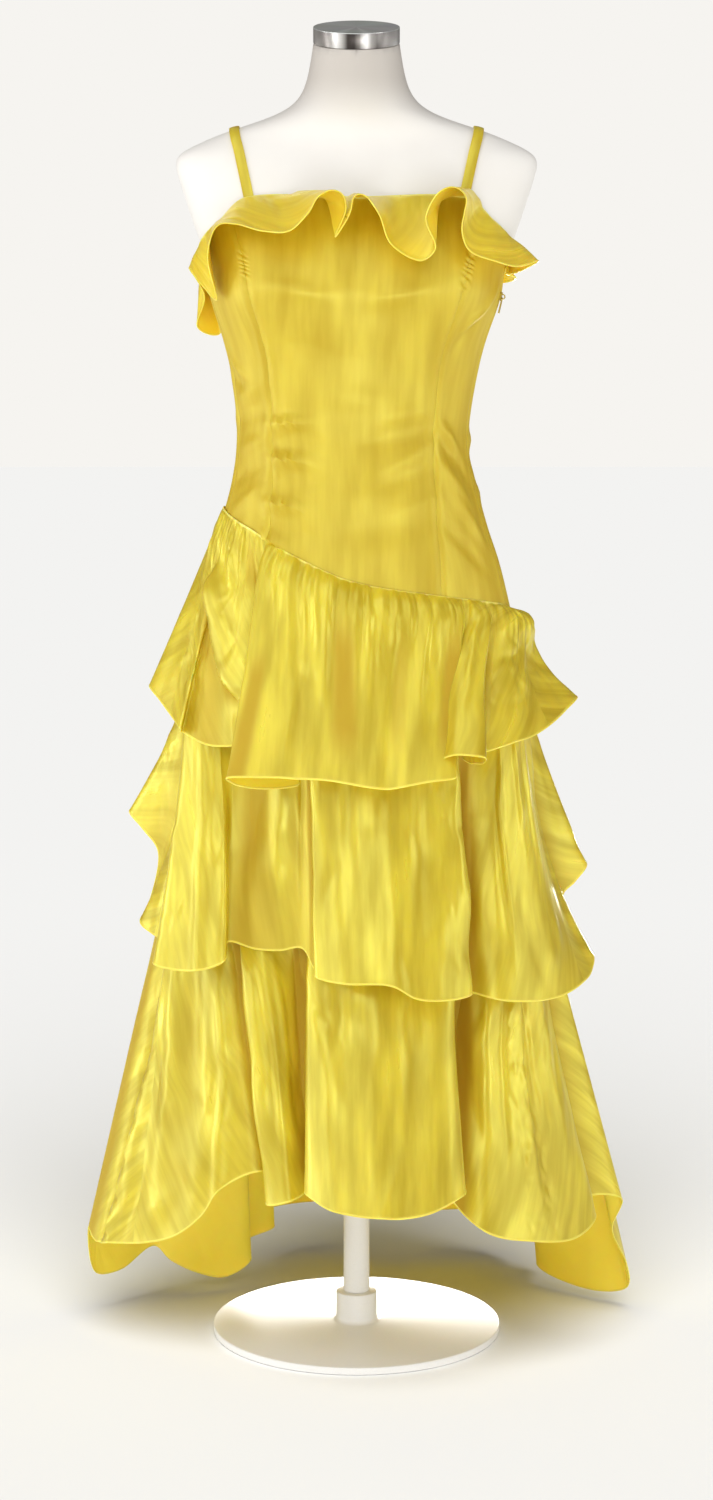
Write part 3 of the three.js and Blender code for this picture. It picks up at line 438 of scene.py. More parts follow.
# How a line strays on its way down: a slow wave, a fast one, its share, and its turns an angle.
CREASE_WAVES = (9.1, 23.7, 0.5, 2)
FOLD_WAVES = (8.3, 19.1, 0.6, 3)
CREASE_WIDENS = {"from": 0.7, "by": 0.6}  # a crease's width on its way down
FOLD_TROUGH = {"depth": 0.25, "at": -5, "width": 6}  # the dip in front of a folded edge
FOLD_LAP = {"at": 1.5, "width": 5.5}  # the strip that a folded edge carries over
SEAM_FLAT = 6  # height below the seam in which creases grow to their full depth
# How far the cloth beside a fold counts on both sides, in how many samples, and the depth at which a
# fold takes its full painted shade.
HOLLOW = {"reach": 45, "samples": 9, "full": 18}


def fade(share, start, end, fade_in, fade_out):
    """1 between two shares of the drop, fading at either end. A crease that starts at the seam or
    ends at the hem doesn't fade there."""
    along = (share - start) / (end - start)
    begin = 1.0 if start <= 0 else ease(along / fade_in)
    finish = 1.0 if end >= 1 else ease((1 - along) / fade_out)
    return begin * finish * (along >= 0) * ((along <= 1) | (end >= 1)), np.clip(along, 0, 1)


def straying(along, angle, waves):
    """How far a line strays to either side on its way down."""
    slow, fast, share, turns = waves
    return np.sin(slow * along + angle) + share * np.sin(fast * along + turns * angle)


class Ring:
    """The whole cloth of a flounce, as a closed ring of columns that run from seam to hem."""

    def __init__(self, middle, angles, downs):
        self.middle, self.angles = middle, angles
        self.share = downs.mean(axis=0)
        closed = np.concatenate([middle, middle[:1]])
        self.across = lengths(closed, 0)
        self.round = self.across[-1]
        self.across = self.across[:-1]
        self.closed_angles = np.append(angles, angles[0] + 360)
        self.down = lengths(middle, 1)
        self.relief = np.zeros(middle.shape[:2])
        self.shift = np.zeros(middle.shape[:2])
        # painted shade laid along lines by deepen
        self.depth = np.zeros(middle.shape[:2])

    def from_line(self, row, angle):
        """How far each point of a row is, to the wearer's left, from the place at an angle."""
        first = self.angles[0]
        angle = first + (angle - first) % 360
        full = np.append(self.across[:, row], self.round[row])
        centre = np.interp(angle, self.closed_angles, full)
        aside = self.across[:, row] - centre
        return aside - self.round[row] * np.round(aside / self.round[row])

    def crease(self, angle, down, angle_end, down_end, width, height, wiggle=0.0):
        """A soft ridge from one place to another, or a trough where its height is below 0."""
        strength, along = fade(self.share, down, down_end, *FADES["crease"])
        wander = wiggle * straying(along, angle, CREASE_WAVES)
        for row in np.flatnonzero(strength > FAINT):
            aside = self.from_line(row, lerp(angle, angle_end, along[row]))
            widened = width * (CREASE_WIDENS["from"] + CREASE_WIDENS["by"] * along[row])
            self.relief[:, row] += strength[row] * height * bell(aside, wander[row], widened)

    def deepen(self, angle, down, angle_end, down_end, width, width_end, amount):
        """Paints shade along a line, where the cloth lies behind other folds and little light comes
        through it.
        """
        strength, along = fade(self.share, down, down_end, *FADES["deepen"])
        for row in np.flatnonzero(strength > FAINT):
            aside = self.from_line(row, lerp(angle, angle_end, along[row]))
            aside = aside / lerp(width, width_end, along[row])
            self.depth[:, row] += strength[row] * amount * np.exp(-(aside**4))

    def folded_edge(
        self, angle, down, angle_end, down_end, side, height, reach, lap, wiggle=0.0, sharp=1.6
    ):
        """The cloth on one side of a line stands up and folds over the cloth on the other side. The
        side is 1 where the raised cloth lies to the wearer's left of the line."""
        strength, along = fade(self.share, down, down_end, *FADES["fold"])
        wander = wiggle * straying(along, angle, FOLD_WAVES)
        for row in np.flatnonzero(strength > FAINT):
            aside = side * (self.from_line(row, lerp(angle, angle_end, along[row])) - wander[row])
            raised = 1 / (1 + np.exp(-np.clip(aside / sharp, -30, 30)))
            back = np.exp(-np.maximum(aside, 0) / reach)
            trough = FOLD_TROUGH["depth"] * bell(aside, FOLD_TROUGH["at"], FOLD_TROUGH["width"])
            self.relief[:, row] += strength[row] * height * (raised * back - trough)
            over = bell(aside, FOLD_LAP["at"], FOLD_LAP["width"])
            self.shift[:, row] -= strength[row] * side * lap * over

    def scatter(self, seed, count, spans, half_length, half_width, height, lean):
        """Small wrinkles in uneven places. The spans are the angles and the shares of the drop."""
        rng = np.random.default_rng(seed)
        angle_from, angle_to, down_from, down_to = spans
        for _ in range(count):
            row = int(np.searchsorted(self.share, rng.uniform(down_from, down_to)))
            row = min(row, len(self.share) - 1)
            aside = self.from_line(row, rng.uniform(angle_from, angle_to))
            size = rng.uniform(*half_length), rng.uniform(*half_width)
            turn = math.radians(90 + rng.normal(0, lean))
            rise = height * rng.uniform(0.4, 1) * rng.choice((-1, 1))
            near = np.flatnonzero(np.abs(aside) < 3 * size[0])
            drop = self.down[near] - self.down[near, row : row + 1]
            level = np.broadcast_to(aside[near, None], drop.shape)
            along = (level * math.cos(turn) + drop * math.sin(turn)) / size[0]
            over = (drop * math.cos(turn) - level * math.sin(turn)) / size[1]
            self.relief[near] += rise * np.exp(-along * along - over * over)

    def gathers(self, seed, start, end, spacing, height, reach, width=(1.8, 4.2)):
        """The small folds of a gathered seam, uneven in place, depth and length."""
        rng = np.random.default_rng(seed)
        angle, sign = start, 1
        while angle < end:
            low = rng.uniform(*reach)
            self.crease(
                angle, 0, angle + rng.uniform(-1.2, 1.2), low, rng.uniform(*width),
                sign * height * rng.uniform(0.35, 1), rng.uniform(0, 1.2),
            )
            angle += spacing * rng.uniform(0.6, 1.5)
            sign = -sign

    def lay(self, creases):
        """Lays all the creases of a flounce, kind by kind."""
        laid_by = {
            "gathers": self.gathers, "folded_edge": self.folded_edge, "deepen": self.deepen,
            "crease": self.crease, "scatter": self.scatter,
        }
        for kind, rows in creases.items():
            for values in rows:
                laid_by[kind](*values)

    def formed(self, room):
        """The cloth's middle with all its creases, held off the body by the room."""
        wrapped = np.concatenate([self.middle[-1:], self.middle, self.middle[:1]])
        across = unit(wrapped[2:] - wrapped[:-2])
        normals = unit(np.cross(np.gradient(self.middle, axis=1), across))
        near_seam = ease(self.down / SEAM_FLAT)
        moved = self.middle + normals * (self.relief * near_seam)[..., None]
        moved = moved + across * (self.shift * near_seam)[..., None]
        return kept_out(moved, room)


def hollows(middle):
    """How deep each point of a closed ring lies in a fold, from 0 to 1: how much further it is
    inside the mean of what lies within reach on both sides than the seam above it is. It sets
    how much painted shade the point takes."""
    columns = len(middle)
    closed = np.concatenate([middle, middle[:1]])
    run = lengths(closed, 0)
    sunk = np.zeros(middle.shape[:2])
    reach = np.linspace(-HOLLOW["reach"], HOLLOW["reach"], HOLLOW["samples"])
    for row in range(middle.shape[1]):
        at = run[:, row]
        out = np.hypot(middle[:, row, 0], middle[:, row, 1] - HIP_SHIFT)
        ends = np.append(out, out[0])
        places = reach[:, None] + at[None, :columns]
        sunk[:, row] = np.interp(np.mod(places, at[-1]), at, ends).mean(axis=0) - out
    return np.clip((sunk - sunk[:, :1]) / HOLLOW["full"], 0, 1)


# ---------------------------------------------------------------- flounces

PUFF_DROP = 0.12  # the share of the drop at which the gathers stand out most
HEM_STEPS = 6000  # how finely the hem is measured before its columns are placed
SEAM_WEIGHT = 0.6  # how much the cloth's length at the seam counts in placing the columns
TURN_WEIGHT = 9  # the length that a fold's turn of one radian counts as
ROW_POWER = 1.08  # over 1, the rows lie closer together near the seam
ROLL_CLEAR = 1.3  # where the even rows end, in widths of the rolled hem
FOLD_SINK = 0.4  # how far a crease may sink below the line where a flounce is sewn on
ROLL_ROWS = (1.0, 0.75, 0.3, 0.07, 0.0)  # the rows on the rolled hem, in its widths from the edge


def back_folds(count, span, crest, hollow, z):
    """The rows of the back folds: each has a hollow, a side, a crest and a side."""
    i = np.arange(4 * count + 1)
    along = i / (4 * count)
    phase = i * math.pi / 2
    uneven = 1 + 0.12 * np.sin(1.7 * i) + 0.08 * np.sin(0.9 * i + 1)
    reach = lerp(hollow, crest * uneven, (1 - np.cos(phase)) / 2)
    seam = lerp(*span, along)
    height = np.interp(along, [0, 0.5, 1], z)
    x, y, z = base_skirt_point(seam - CREST_SPREAD * np.sin(phase), height, reach).T
    blank = np.full(len(i), math.nan)
    return {"seam": seam, "x": x, "y": y, "z": z, "puff": blank, "flare": blank}


def closed_curve(points, t):
    """A closed centripetal curve through points. t is 0 at the first and rises by 1 a point."""
    count = len(points)
    i = np.floor(t).astype(int)
    weight = (t - i)[..., None]
    p0, p1, p2, p3 = (points[(i + n) % count] for n in (-1, 0, 1, 2))
    spans = (p0, p1), (p1, p2), (p2, p3)
    d0, d1, d2 = (np.sqrt(np.linalg.norm(b - a, axis=-1))[..., None] for a, b in spans)
    t1 = ((p1 - p0) / d0 - (p2 - p0) / (d0 + d1) + (p2 - p1) / d1) * d1
    t2 = ((p2 - p1) / d1 - (p3 - p1) / (d1 + d2) + (p3 - p2) / d2) * d1
    return hermite(p1, t1, p2, t2, weight)


class Flounce:
    """A flounce's surface: how far round its folds and how far down from the seam give a point."""

    def __init__(self, seen, unseen, seam_point, flare):
        folds = {name: np.concatenate([seen[name], unseen[name]]) for name in seen}
        self.count = len(folds["seam"])
        self.hem = np.stack([folds["x"], folds["y"], folds["z"]], axis=1)
        self.seams = np.append(folds["seam"], folds["seam"][0] + 360)
        self.puffs = np.nan_to_num(np.append(folds["puff"], folds["puff"][0]), nan=0)
        self.flares = np.nan_to_num(np.append(folds["flare"], folds["flare"][0]), nan=flare)
        self.seam_point = seam_point

    def between(self, column, along):
        return np.interp(along % self.count, np.arange(self.count + 1), column)

    def along_at(self, angle):
        if angle >= self.seams[-1]:
            return self.count + self.along_at(angle - 360)
        return float(np.interp(angle, self.seams, np.arange(self.count + 1)))

    def angle_at(self, along):
        return self.between(self.seams, along) + 360 * np.floor(along / self.count)

    def point(self, along, down):
        start = self.seam_point(self.between(self.seams, along))
        end = closed_curve(self.hem, along)
        out = down ** self.between(self.flares, along)
        near = down / PUFF_DROP
        puff = self.between(self.puffs, along) * near * np.exp(1 - near)
        aside = unit(start[..., :2]) * puff[..., None]
        level = lerp(start[..., :2], end[..., :2], out[..., None]) + aside
        z = lerp(start[..., 2], end[..., 2], down)
        room = LAP_MID + FOLD_ROOM * np.minimum(1, near)
        return kept_out(np.concatenate([level, z[..., None]], axis=-1), room)

    def columns(self, start, end, count):
        """Places round the folds, evenly spaced on the cloth and closer at the folds' edges."""
        fine = np.linspace(start, end, HEM_STEPS)
        hem = closed_curve(self.hem, fine)
        seam = self.seam_point(self.between(self.seams, fine))
        steps = np.diff(hem, axis=0)
        way = unit(steps)
        turn = np.append(0, np.arccos(np.clip((way[1:] * way[:-1]).sum(axis=1), -1, 1)))
        at_hem = np.linalg.norm(steps, axis=1)
        at_seam = np.linalg.norm(np.diff(seam, axis=0), axis=1)
        size = at_hem + SEAM_WEIGHT * at_seam + TURN_WEIGHT * turn
        run = np.append(0, np.cumsum(size))
        return np.interp(np.linspace(0, run[-1], count), run, fine)

    def ring(self, front_columns, back_columns, row_count):
        """The whole ring, whose first column is at the right side seam."""
        right, left, right_again = map(self.along_at, (-SIDE_SEAM, SIDE_SEAM, 360 - SIDE_SEAM))
        front = self.columns(right, left, front_columns)
        back = self.columns(left, right_again, back_columns)
        alongs = np.concatenate([front[:-1], back[:-1]])
        both_ends = np.tile([0.0, 1.0], (len(alongs), 1))
        ends = self.point(np.repeat(alongs[:, None], 2, axis=1), both_ends)
        drop = np.linalg.norm(ends[:, 1] - ends[:, 0], axis=1)[:, None]
        roll = HEM["roll"] / drop
        even = np.linspace(0, 1, row_count)[None, :] ** ROW_POWER * (1 - ROLL_CLEAR * roll)
        rolled = 1 - np.array(ROLL_ROWS)[None, :] * roll
        downs = np.concatenate([even, rolled], axis=1)
        columns = np.repeat(alongs[:, None], downs.shape[1], axis=1)
        return Ring(self.point(columns, downs), self.angle_at(alongs), downs)


def hem_thickness(middle):
    """The cloth's thickness, with a narrow rolled hem at the lower edge."""
    down = lengths(middle, 1)
    to_edge = down[:, -1:] - down
    inside_roll = ease((HEM["roll"] + HEM["lead"] - to_edge) / HEM["step"])
    rounded = np.sqrt(np.clip(to_edge / (HEM["round"] * HEM["roll"]), HEM["least"], 1))
    return SHELL + (HEM["thick"] * rounded - SHELL) * inside_roll


def flounce_pieces(name, surface, sizes, creases, tones, material):
    """Makes a flounce's ring, creases it, and cuts it at the side seams. Tones are how much painted
    shade its folds take, and what cloth_wall takes as lit and inner_hollow: the brighter yellow
    painted on each face as lit from behind, and painted shade on the inner face."""
    fold_shade_share, lit, inner_hollow = tones
    ring = surface.ring(*sizes)
    ring.lay(creases)
    middle = ring.formed(LAP_MID - FOLD_SINK)
    # painted shade: deeper in the folds, and along the lines laid by deepen
    hollow = np.clip(fold_shade_share * hollows(middle) + ring.depth, 0, 1)
    cut = sizes[0] - 1
    halves = {
        name + "_front": np.arange(cut + 1),
        name + "_back": np.arange(cut, len(middle) + 1) % len(middle),
    }
    return {
        half: wear(
            cloth_wall(
                half + "_cloth", middle[columns], hem_thickness(middle[columns]), material,
                hollow[columns], lit, inner_hollow,
            ),
            half,
        )
        for half, columns in halves.items()
    }


# ---------------------------------------------------------------- bodice

# Where the rows lie closer together for the puckers, as shares of the height, and how much closer.
PUCKERED = {"from_top": 0.15, "reach": 0.09, "closer": 3.5}


def bodice_grid(seam_from, seam_to, columns, rows):
    """The middle of a bodice panel between two seams, its angles and its heights."""
    across = np.linspace(0, 1, columns)[:, None]
    across = across - 0.06 * np.sin(2 * math.pi * across)
    fine = np.linspace(0, 1, 2000)
    run = np.cumsum(1 + PUCKERED["closer"] * bell(fine, PUCKERED["from_top"], PUCKERED["reach"]))
    down = np.interp(np.linspace(run[0], run[-1], rows), run, fine)[None, :]
    z = np.full((columns, rows), 1000.0)
    angle = np.zeros((columns, rows))
    for _ in range(8):
        trim = np.degrees(SEAM_HALF_GAP / row_at(FIGURE, "z", z)["front"])
        angle = lerp(seam_from(z) + trim, seam_to(z) - trim, across)
        z = lerp(height_of(TOP_EDGE, angle), height_of(DROPPED_SEAM, angle), down)
    return figure_point(angle, z, BODICE_MID), angle, z


def front_princess(z):
    return row_at(FRONT_PRINCESS, "z", z)["angle"]


# Soft wrinkles of the bodice: where they are, half their length and width, their height as a share
# of WRINKLE_RISE, and how far they lean from level, anticlockwise as seen from outside.
BODICE_WRINKLES = [
    # angle, z, half length, half width, height, lean
    (-33, 977, 20, 6, 2.8, 4),
    (-31, 957, 24, 7, -2.0, 0),
    (-32, 939, 20, 6, 3.0, -4),
    (-30, 917, 24, 7, -2.0, 3),
    (-33, 893, 20, 5.5, 2.8, -8),
    (-30, 872, 24, 6, -1.6, -18),
    (-34, 856, 15, 5, 2.4, -24),
    (-14, 1040, 40, 16, -0.5, 6),
    (8, 1000, 46, 14, 0.9, -5),
    (26, 985, 26, 9, 1.0, 12),
    (24, 964, 30, 9, -1.1, 16),
    (30, 944, 30, 8, 1.3, 28),
    (26, 921, 30, 9, -0.9, 24),
    (4, 905, 40, 14, 0.7, 4),
    (33, 896, 22, 8, 0.8, 18),
    (14, 868, 50, 13, -0.7, 8),
    (10, 1085, 30, 14, -0.5, -14),
    (-22, 1108, 22, 9, 1.6, -12),
    (17, 1104, 20, 9, 1.5, 14),
    (-20, 1050, 18, 8, -0.9, -20),
    (0, 1090, 2.2, 30, 0.25, 0),
    (54, 962, 20, 6, 1.5, -46),
    (58, 940, 26, 6, -1.3, -50),
    (55, 915, 30, 7, 1.3, -54),
    (60, 880, 34, 7, 1.2, -58),
    (52, 850, 30, 7, -0.9, -50),
    (56, 1085, 22, 6, 1.0, 52),
    (52, 1064, 24, 6, -0.9, 58),
    (62, 1100, 22, 6, 0.9, 44),
    (-58, 1010, 26, 9, 0.9, 20),
    (-62, 985, 28, 9, -1.0, 16),
    (-57, 955, 26, 8, 1.1, 12),
    (-62, 925, 26, 8, -0.9, 22),
    (-56, 900, 28, 8, 0.9, 34),
    (-66, 1032, 14, 4, 1.1, -30),
    (-70, 1018, 14, 4, -1.0, -24),
    (100, 960, 34, 9, 1.3, 6),
    (112, 935, 40, 10, -1.2, -6),
    (104, 908, 36, 9, 1.1, 10),
    (128, 975, 40, 10, 1.0, -8),
    (135, 950, 40, 9, -1.1, 4),
    (126, 1060, 50, 14, -0.8, 14),
    (165, 968, 40, 9, 1.3, 3),
    (176, 945, 46, 9, -1.3, -3),
    (190, 925, 40, 9, 1.2, 5),
    (200, 980, 36, 9, -0.9, -6),
    (222, 960, 40, 9, 1.2, 8),
    (232, 936, 40, 9, -1.1, 2),
    (226, 905, 36, 9, 1.0, -10),
    (248, 985, 34, 8, 1.1, -8),
    (252, 1050, 40, 12, -0.8, -16),
]
# Puckers of the sewing: small wrinkles across a seam, from one height to another.
SEAM_PUCKERS = [
    # side of the body, top, bottom, spacing, height
    (1, 1162, 1108, 6.2, 1.3),
    (-1, 1150, 1122, 5.6, 1.1),
    (-1, 1064, 1048, 6.0, 0.8),
    (1, 1108, 1040, 11, 0.35),
    (-1, 1118, 1070, 11, 0.35),
    (1, 1030, 830, 13, 0.3),
    (-1, 1040, 870, 13, 0.3),
]
SEAM_GROOVE = {"depth": 0.9, "width": 2.2, "ridge": 0.5, "ridge_at": 6, "ridge_width": 4}
WRINKLE_RISE = 2.8
DEEPEST_WRINKLE = -1.7  # any deeper and the cloth would touch the form
# How much painted shade the bodice takes: a share all over, and more at an angle on both sides.
BODICE_PAINTED_SHADE = {"all_over": 0.44, "aside": 0.2, "angle": 68, "spread": 24}
SKIRT_RADIUS = 130  # of the base skirt at its side seams
SKIRT_TUCK = 0.6  # from the bodice's lower edge down to the base skirt


def bodice_wrinkles(angle, z):
    relief = np.zeros(angle.shape)
    section = row_at(FIGURE, "z", z)
    around = np.radians(1) * (section["side"] + section["front"]) / 2
    for at, height, half_length, half_width, rise, lean in BODICE_WRINKLES:
        aside = turned(angle - at) * around
        up = z - height
        cos, sin = math.cos(math.radians(lean)), math.sin(math.radians(lean))
        along = (aside * cos + up * sin) / half_length
        over = (up * cos - aside * sin) / half_width
        relief += WRINKLE_RISE * rise * np.exp(-along * along - over * over)
    for side, top, bottom, spacing, rise in SEAM_PUCKERS:
        from_seam = (turned(angle) - side * front_princess(z)) * around
        beside = bell(from_seam, 0, 4.5) * ease((top + 4 - z) / 8) * ease((z - bottom + 4) / 8)
        uneven = z + 2.4 * np.sin(z / 5.3) + 0.5 * from_seam
        relief += rise * beside * np.sin(2 * math.pi * uneven / spacing)
    return relief


def seam_relief(middle):
    """Both side edges of a panel dip into the seam, with the allowance's soft ridge beside them."""
    across = lengths(middle, 0)
    relief = np.zeros(across.shape)
    for distance in (across, across[-1:] - across):
        relief -= SEAM_GROOVE["depth"] * np.exp(-distance / SEAM_GROOVE["width"])
        beside = bell(distance, SEAM_GROOVE["ridge_at"], SEAM_GROOVE["ridge_width"])
        relief += SEAM_GROOVE["ridge"] * beside
    return relief


def bodice_piece(name, seam_from, seam_to, columns, rows, material):
    middle, angle, z = bodice_grid(seam_from, seam_to, columns, rows)
    relief = bodice_wrinkles(angle, z) + seam_relief(middle)
    middle = middle + grid_normals(middle) * np.maximum(relief, DEEPEST_WRINKLE)[..., None]
    # painted shade: a share all over the bodice, more on its sides
    aside = bell(np.abs(turned(angle)), BODICE_PAINTED_SHADE["angle"], BODICE_PAINTED_SHADE["spread"])
    hollow = BODICE_PAINTED_SHADE["all_over"] + BODICE_PAINTED_SHADE["aside"] * aside
    return wear(cloth_wall(name + "_cloth", middle, SHELL, material, hollow), name)


def base_skirt_piece(name, angle_from, angle_to, columns, rows, material):
    trim = np.degrees(SEAM_HALF_GAP / SKIRT_RADIUS)
    angle = np.linspace(angle_from + trim, angle_to - trim, columns)[:, None]
    top = height_of(DROPPED_SEAM, angle) - SKIRT_TUCK
    bottom = height_of(TIER_3_SEAM, angle)
    z = lerp(top, bottom, np.linspace(0, 1, rows)[None, :])
    middle = base_skirt_point(angle, z, BODICE_MID)
    return wear(cloth_wall(name + "_cloth", middle, SHELL, material), name)


# ---------------------------------------------------------------- straps


def angle_aside(x, z):
    side = row_at(FIGURE, "z", z)["side"]
    return math.degrees(math.asin(min(1, max(-1, x / side))))


def shoulder_height(x):
    low, high = 1245.0, 1300.0  # heights between which the shoulder narrows
    for _ in range(30):
        middle = (low + high) / 2
        if row_at(FIGURE, "z", middle)["side"] > x:
            low = middle
        else:
            high = middle
    return low


def strap_path(side, steps):
    """Points up the front, over the shoulder and down the back, on the skin of the form."""
    crest = shoulder_height(STRAP["shoulder"])
    halves = []
    for end_x, is_back in ((STRAP["front"], False), (STRAP["back"], True)):
        points = []
        for along in np.linspace(0, 1, steps):
            rise = math.sin(along * math.pi / 2)
            x = lerp(end_x, STRAP["shoulder"], rise)
            angle, z = 0.0, crest
            for _ in range(8):
                around = 180 - angle if is_back else angle
                edge = float(height_of(TOP_EDGE, around)) + STRAP["above"]
                z = edge + (crest - edge) * rise
                angle = angle_aside(x, min(z, shoulder_height(x)))
            turn = side * (180 - angle if is_back else angle)
            lift = STRAP["clear"] + STRAP["wall"] / 2 - STRAP["tuck"] * (1 - along) ** 4
            points.append(figure_point(turn, z, 0) + figure_normal(turn, z) * lift)
        halves.append(points)
    return np.array(halves[0] + halves[1][::-1][1:])


def strap_piece(name, side, material):
    """A narrow band, folded and pressed, with rounded edges."""
    path = strap_path(side, STRAP["rows"])
    centre_x = side * STRAP["shoulder"] * STRAP_FACES["x"]
    along = unit(np.gradient(path, axis=0))
    outward = path - np.array([centre_x, STRAP_FACES["y"], STRAP_FACES["z"]])
    outward[:, 0] = side * np.abs(outward[:, 0]) * STRAP_FACES["aside"]
    outward = unit(outward - along * (outward * along).sum(axis=1, keepdims=True))
    across = np.cross(along, outward)
    share = np.sin(np.linspace(-math.pi / 2, math.pi / 2, STRAP["columns"]))
    crown = STRAP["crown"] * (1 - share**2)
    middle = path[None] + across[None] * (share * STRAP["width"] / 2)[:, None, None]
    middle = middle + outward[None] * crown[:, None, None]
    rounded = STRAP["wall"] * (0.25 + 0.75 * np.sqrt(1 - 0.98 * share**2))
    thick = np.repeat(rounded[:, None], len(path), axis=1)
    if (grid_normals(middle) * outward[None]).sum() < 0:
        middle = middle[::-1]
    return wear(cloth_wall(name + "_cloth", middle, thick, material), name)


# ---------------------------------------------------------------- materials


def linear(hex_colour):
    """An sRGB hex colour as the linear values that shaders take."""
    parts = [int(hex_colour[i : i + 2], 16) / 255 for i in (1, 3, 5)]
    return [*(c / 12.92 if c <= 0.04045 else ((c + 0.055) / 1.055) ** 2.4 for c in parts), 1.0]


def add_node(tree, kind, settings=None, links=None, values=None):
    """Adds a node with its settings, its sockets' values, and links from other nodes' outputs."""
    node = tree.nodes.new(kind)
    for key, value in (settings or {}).items():
        setattr(node, key, value)
    for key, value in (values or {}).items():
        node.inputs[key].default_value = value
    for key, output in (links or {}).items():
        tree.links.new(output, node.inputs[key])
    return node


def new_material(name, values):
    """A material and its shader, with the shader's own values."""
    material = bpy.data.materials.new(name)
    material.use_nodes = True
    tree = material.node_tree
    shader = tree.nodes["Principled BSDF"]
    for key, value in values.items():
        shader.inputs[key].default_value = value
    return material, tree, shader


def blotches(tree, vector, size, detail, roughness=0.5):
    """Uneven blotches of a size in millimetres, which may be longer one way."""
    place = add_node(
        tree, "ShaderNodeMapping", links={"Vector": vector},
        values={"Scale": tuple(1 / (length * MM) for length in size)},
    )
    pattern = add_node(
        tree, "ShaderNodeTexNoise", links={"Vector": place.outputs["Vector"]},
        values={"Scale": 1, "Detail": detail, "Roughness": roughness},
    )
    return pattern.outputs


def mottled(tree, vector, size, detail, tones):
    """Blotches, and a colour that drifts between two tones with them."""
    pattern = blotches(tree, vector, size, detail)["Fac"]
    drift = add_node(
        tree, "ShaderNodeMix", {"data_type": "RGBA"}, links={"Factor": pattern},
        values={"A": linear(tones[0]), "B": linear(tones[1])},
    )
    return pattern, drift.outputs["Result"]


def tinted(tree, colour, tints):
    """A colour turned towards one tint after another, each by its own share."""
    for share, tint in tints:
        mixed = add_node(
            tree, "ShaderNodeMix", {"data_type": "RGBA"}, links={"Factor": share, "A": colour},
            values={"B": linear(tint)},
        )
        colour = mixed.outputs["Result"]
    return colour


def embossed(tree, shader, reliefs):
    """Lays one relief over another. Each is a height, a strength and a depth in millimetres."""
    below = {}
    for height, strength, depth in reliefs:
        bump = add_node(
            tree, "ShaderNodeBump", links={"Height": height, **below},
            values={"Strength": strength, "Distance": depth * MM},
        )
        below = {"Normal": bump.outputs["Normal"]}
    tree.links.new(below["Normal"], shader.inputs["Normal"])


def satin_organza():
    """Satin-faced organza, woven of fine bright filament: a soft sheen that runs in streaks along
    the warp, from its gloss and bumps and also painted into its colour with the uneven weave;
    painted shade, a deeper gold, in the folds; a brighter yellow painted where light would come
    through from behind; and paler lines painted as highlights at the seam and the rolled hem. The
    streaks are drawn coarser than the filament, so that they show."""
    material, tree, shader = new_material("satin_organza_yellow", {
        "Anisotropic": 0.4, "IOR": 1.85, "Specular IOR Level": 1.0,
        "Specular Tint": linear("#F3FF8E"),
        "Subsurface Weight": 1.0, "Subsurface Radius": (1.0, 0.75, 0.15),
        "Subsurface Scale": 0.9 * MM,
    })
    uv = add_node(tree, "ShaderNodeUVMap", {"uv_map": "cloth"}).outputs["UV"]
    streaks = blotches(tree, uv, (8, 70, 1), 3)["Fac"]
    patches = blotches(tree, uv, (30, 110, 1), 1.5, 0.45)["Fac"]
    mottle = add_node(
        tree, "ShaderNodeMix", {"data_type": "FLOAT"}, links={"A": streaks, "B": patches},
        values={"Factor": 0.66},
    ).outputs["Result"]
    spread = add_node(
        tree, "ShaderNodeMapRange", {"interpolation_type": "SMOOTHSTEP"},
        links={"Value": mottle}, values={"From Min": 0.3, "From Max": 0.7},
    ).outputs["Result"]
    # hollow carries painted shade of the folds, inside a brighter yellow painted as light from
    # behind
    hollow, inside, from_hem = (
        add_node(tree, "ShaderNodeAttribute", {"attribute_name": name}).outputs["Fac"]
        for name in ("hollow", "inside", "from_hem")
    )
    # masks of painted highlights: a pale line along the rolled hem and one along the seam's edge
    rolled = add_node(
        tree, "ShaderNodeMapRange", links={"Value": from_hem},
        values={
            "From Min": HEM["roll"] * MM, "From Max": 1.3 * HEM["roll"] * MM,
            "To Min": 1, "To Max": 0,
        },
    ).outputs["Result"]
    from_seam = add_node(tree, "ShaderNodeSeparateXYZ", links={"Vector": uv}).outputs["Y"]
    seam_painted_highlight = add_node(
        tree, "ShaderNodeMapRange", links={"Value": from_seam},
        values={"From Min": 1.6 * MM, "From Max": 2.6 * MM, "To Min": 0.85, "To Max": 0},
    ).outputs["Result"]
    # colour drifting with streaks and patches: partly the uneven weave, partly painted sheen
    weave_and_painted_sheen = add_node(
        tree, "ShaderNodeMix", {"data_type": "RGBA"}, links={"Factor": spread},
        values={"A": linear("#C0A104"), "B": linear("#EAD644")},
    )
    # painted shade in the folds, painted backlight, and painted highlights at the hem and the seam
    colour = tinted(tree, weave_and_painted_sheen.outputs["Result"], (
        (hollow, "#BF9200"), (inside, "#FFE54E"), (rolled, "#EFDD5C"), (seam_painted_highlight, "#F6EA7E"),
    ))
    tree.links.new(colour, shader.inputs["Base Color"])
    shine = add_node(
        tree, "ShaderNodeMapRange", links={"Value": mottle},
        values={"From Min": 0.3, "From Max": 0.7, "To Min": 0.42, "To Max": 0.25},
    ).outputs["Result"]
    dulled = add_node(
        tree, "ShaderNodeMix", {"data_type": "FLOAT"}, links={"Factor": hollow, "A": shine},
        values={"B": 0.7},
    )
    tree.links.new(dulled.outputs["Result"], shader.inputs["Roughness"])
    embossed(tree, shader, ((patches, 0.6, 3), (streaks, 0.16, 0.25)))
    tangent = add_node(tree, "ShaderNodeTangent", {"direction_type": "UV_MAP", "uv_map": "cloth"})
    tree.links.new(tangent.outputs["Tangent"], shader.inputs["Tangent"])
    return material


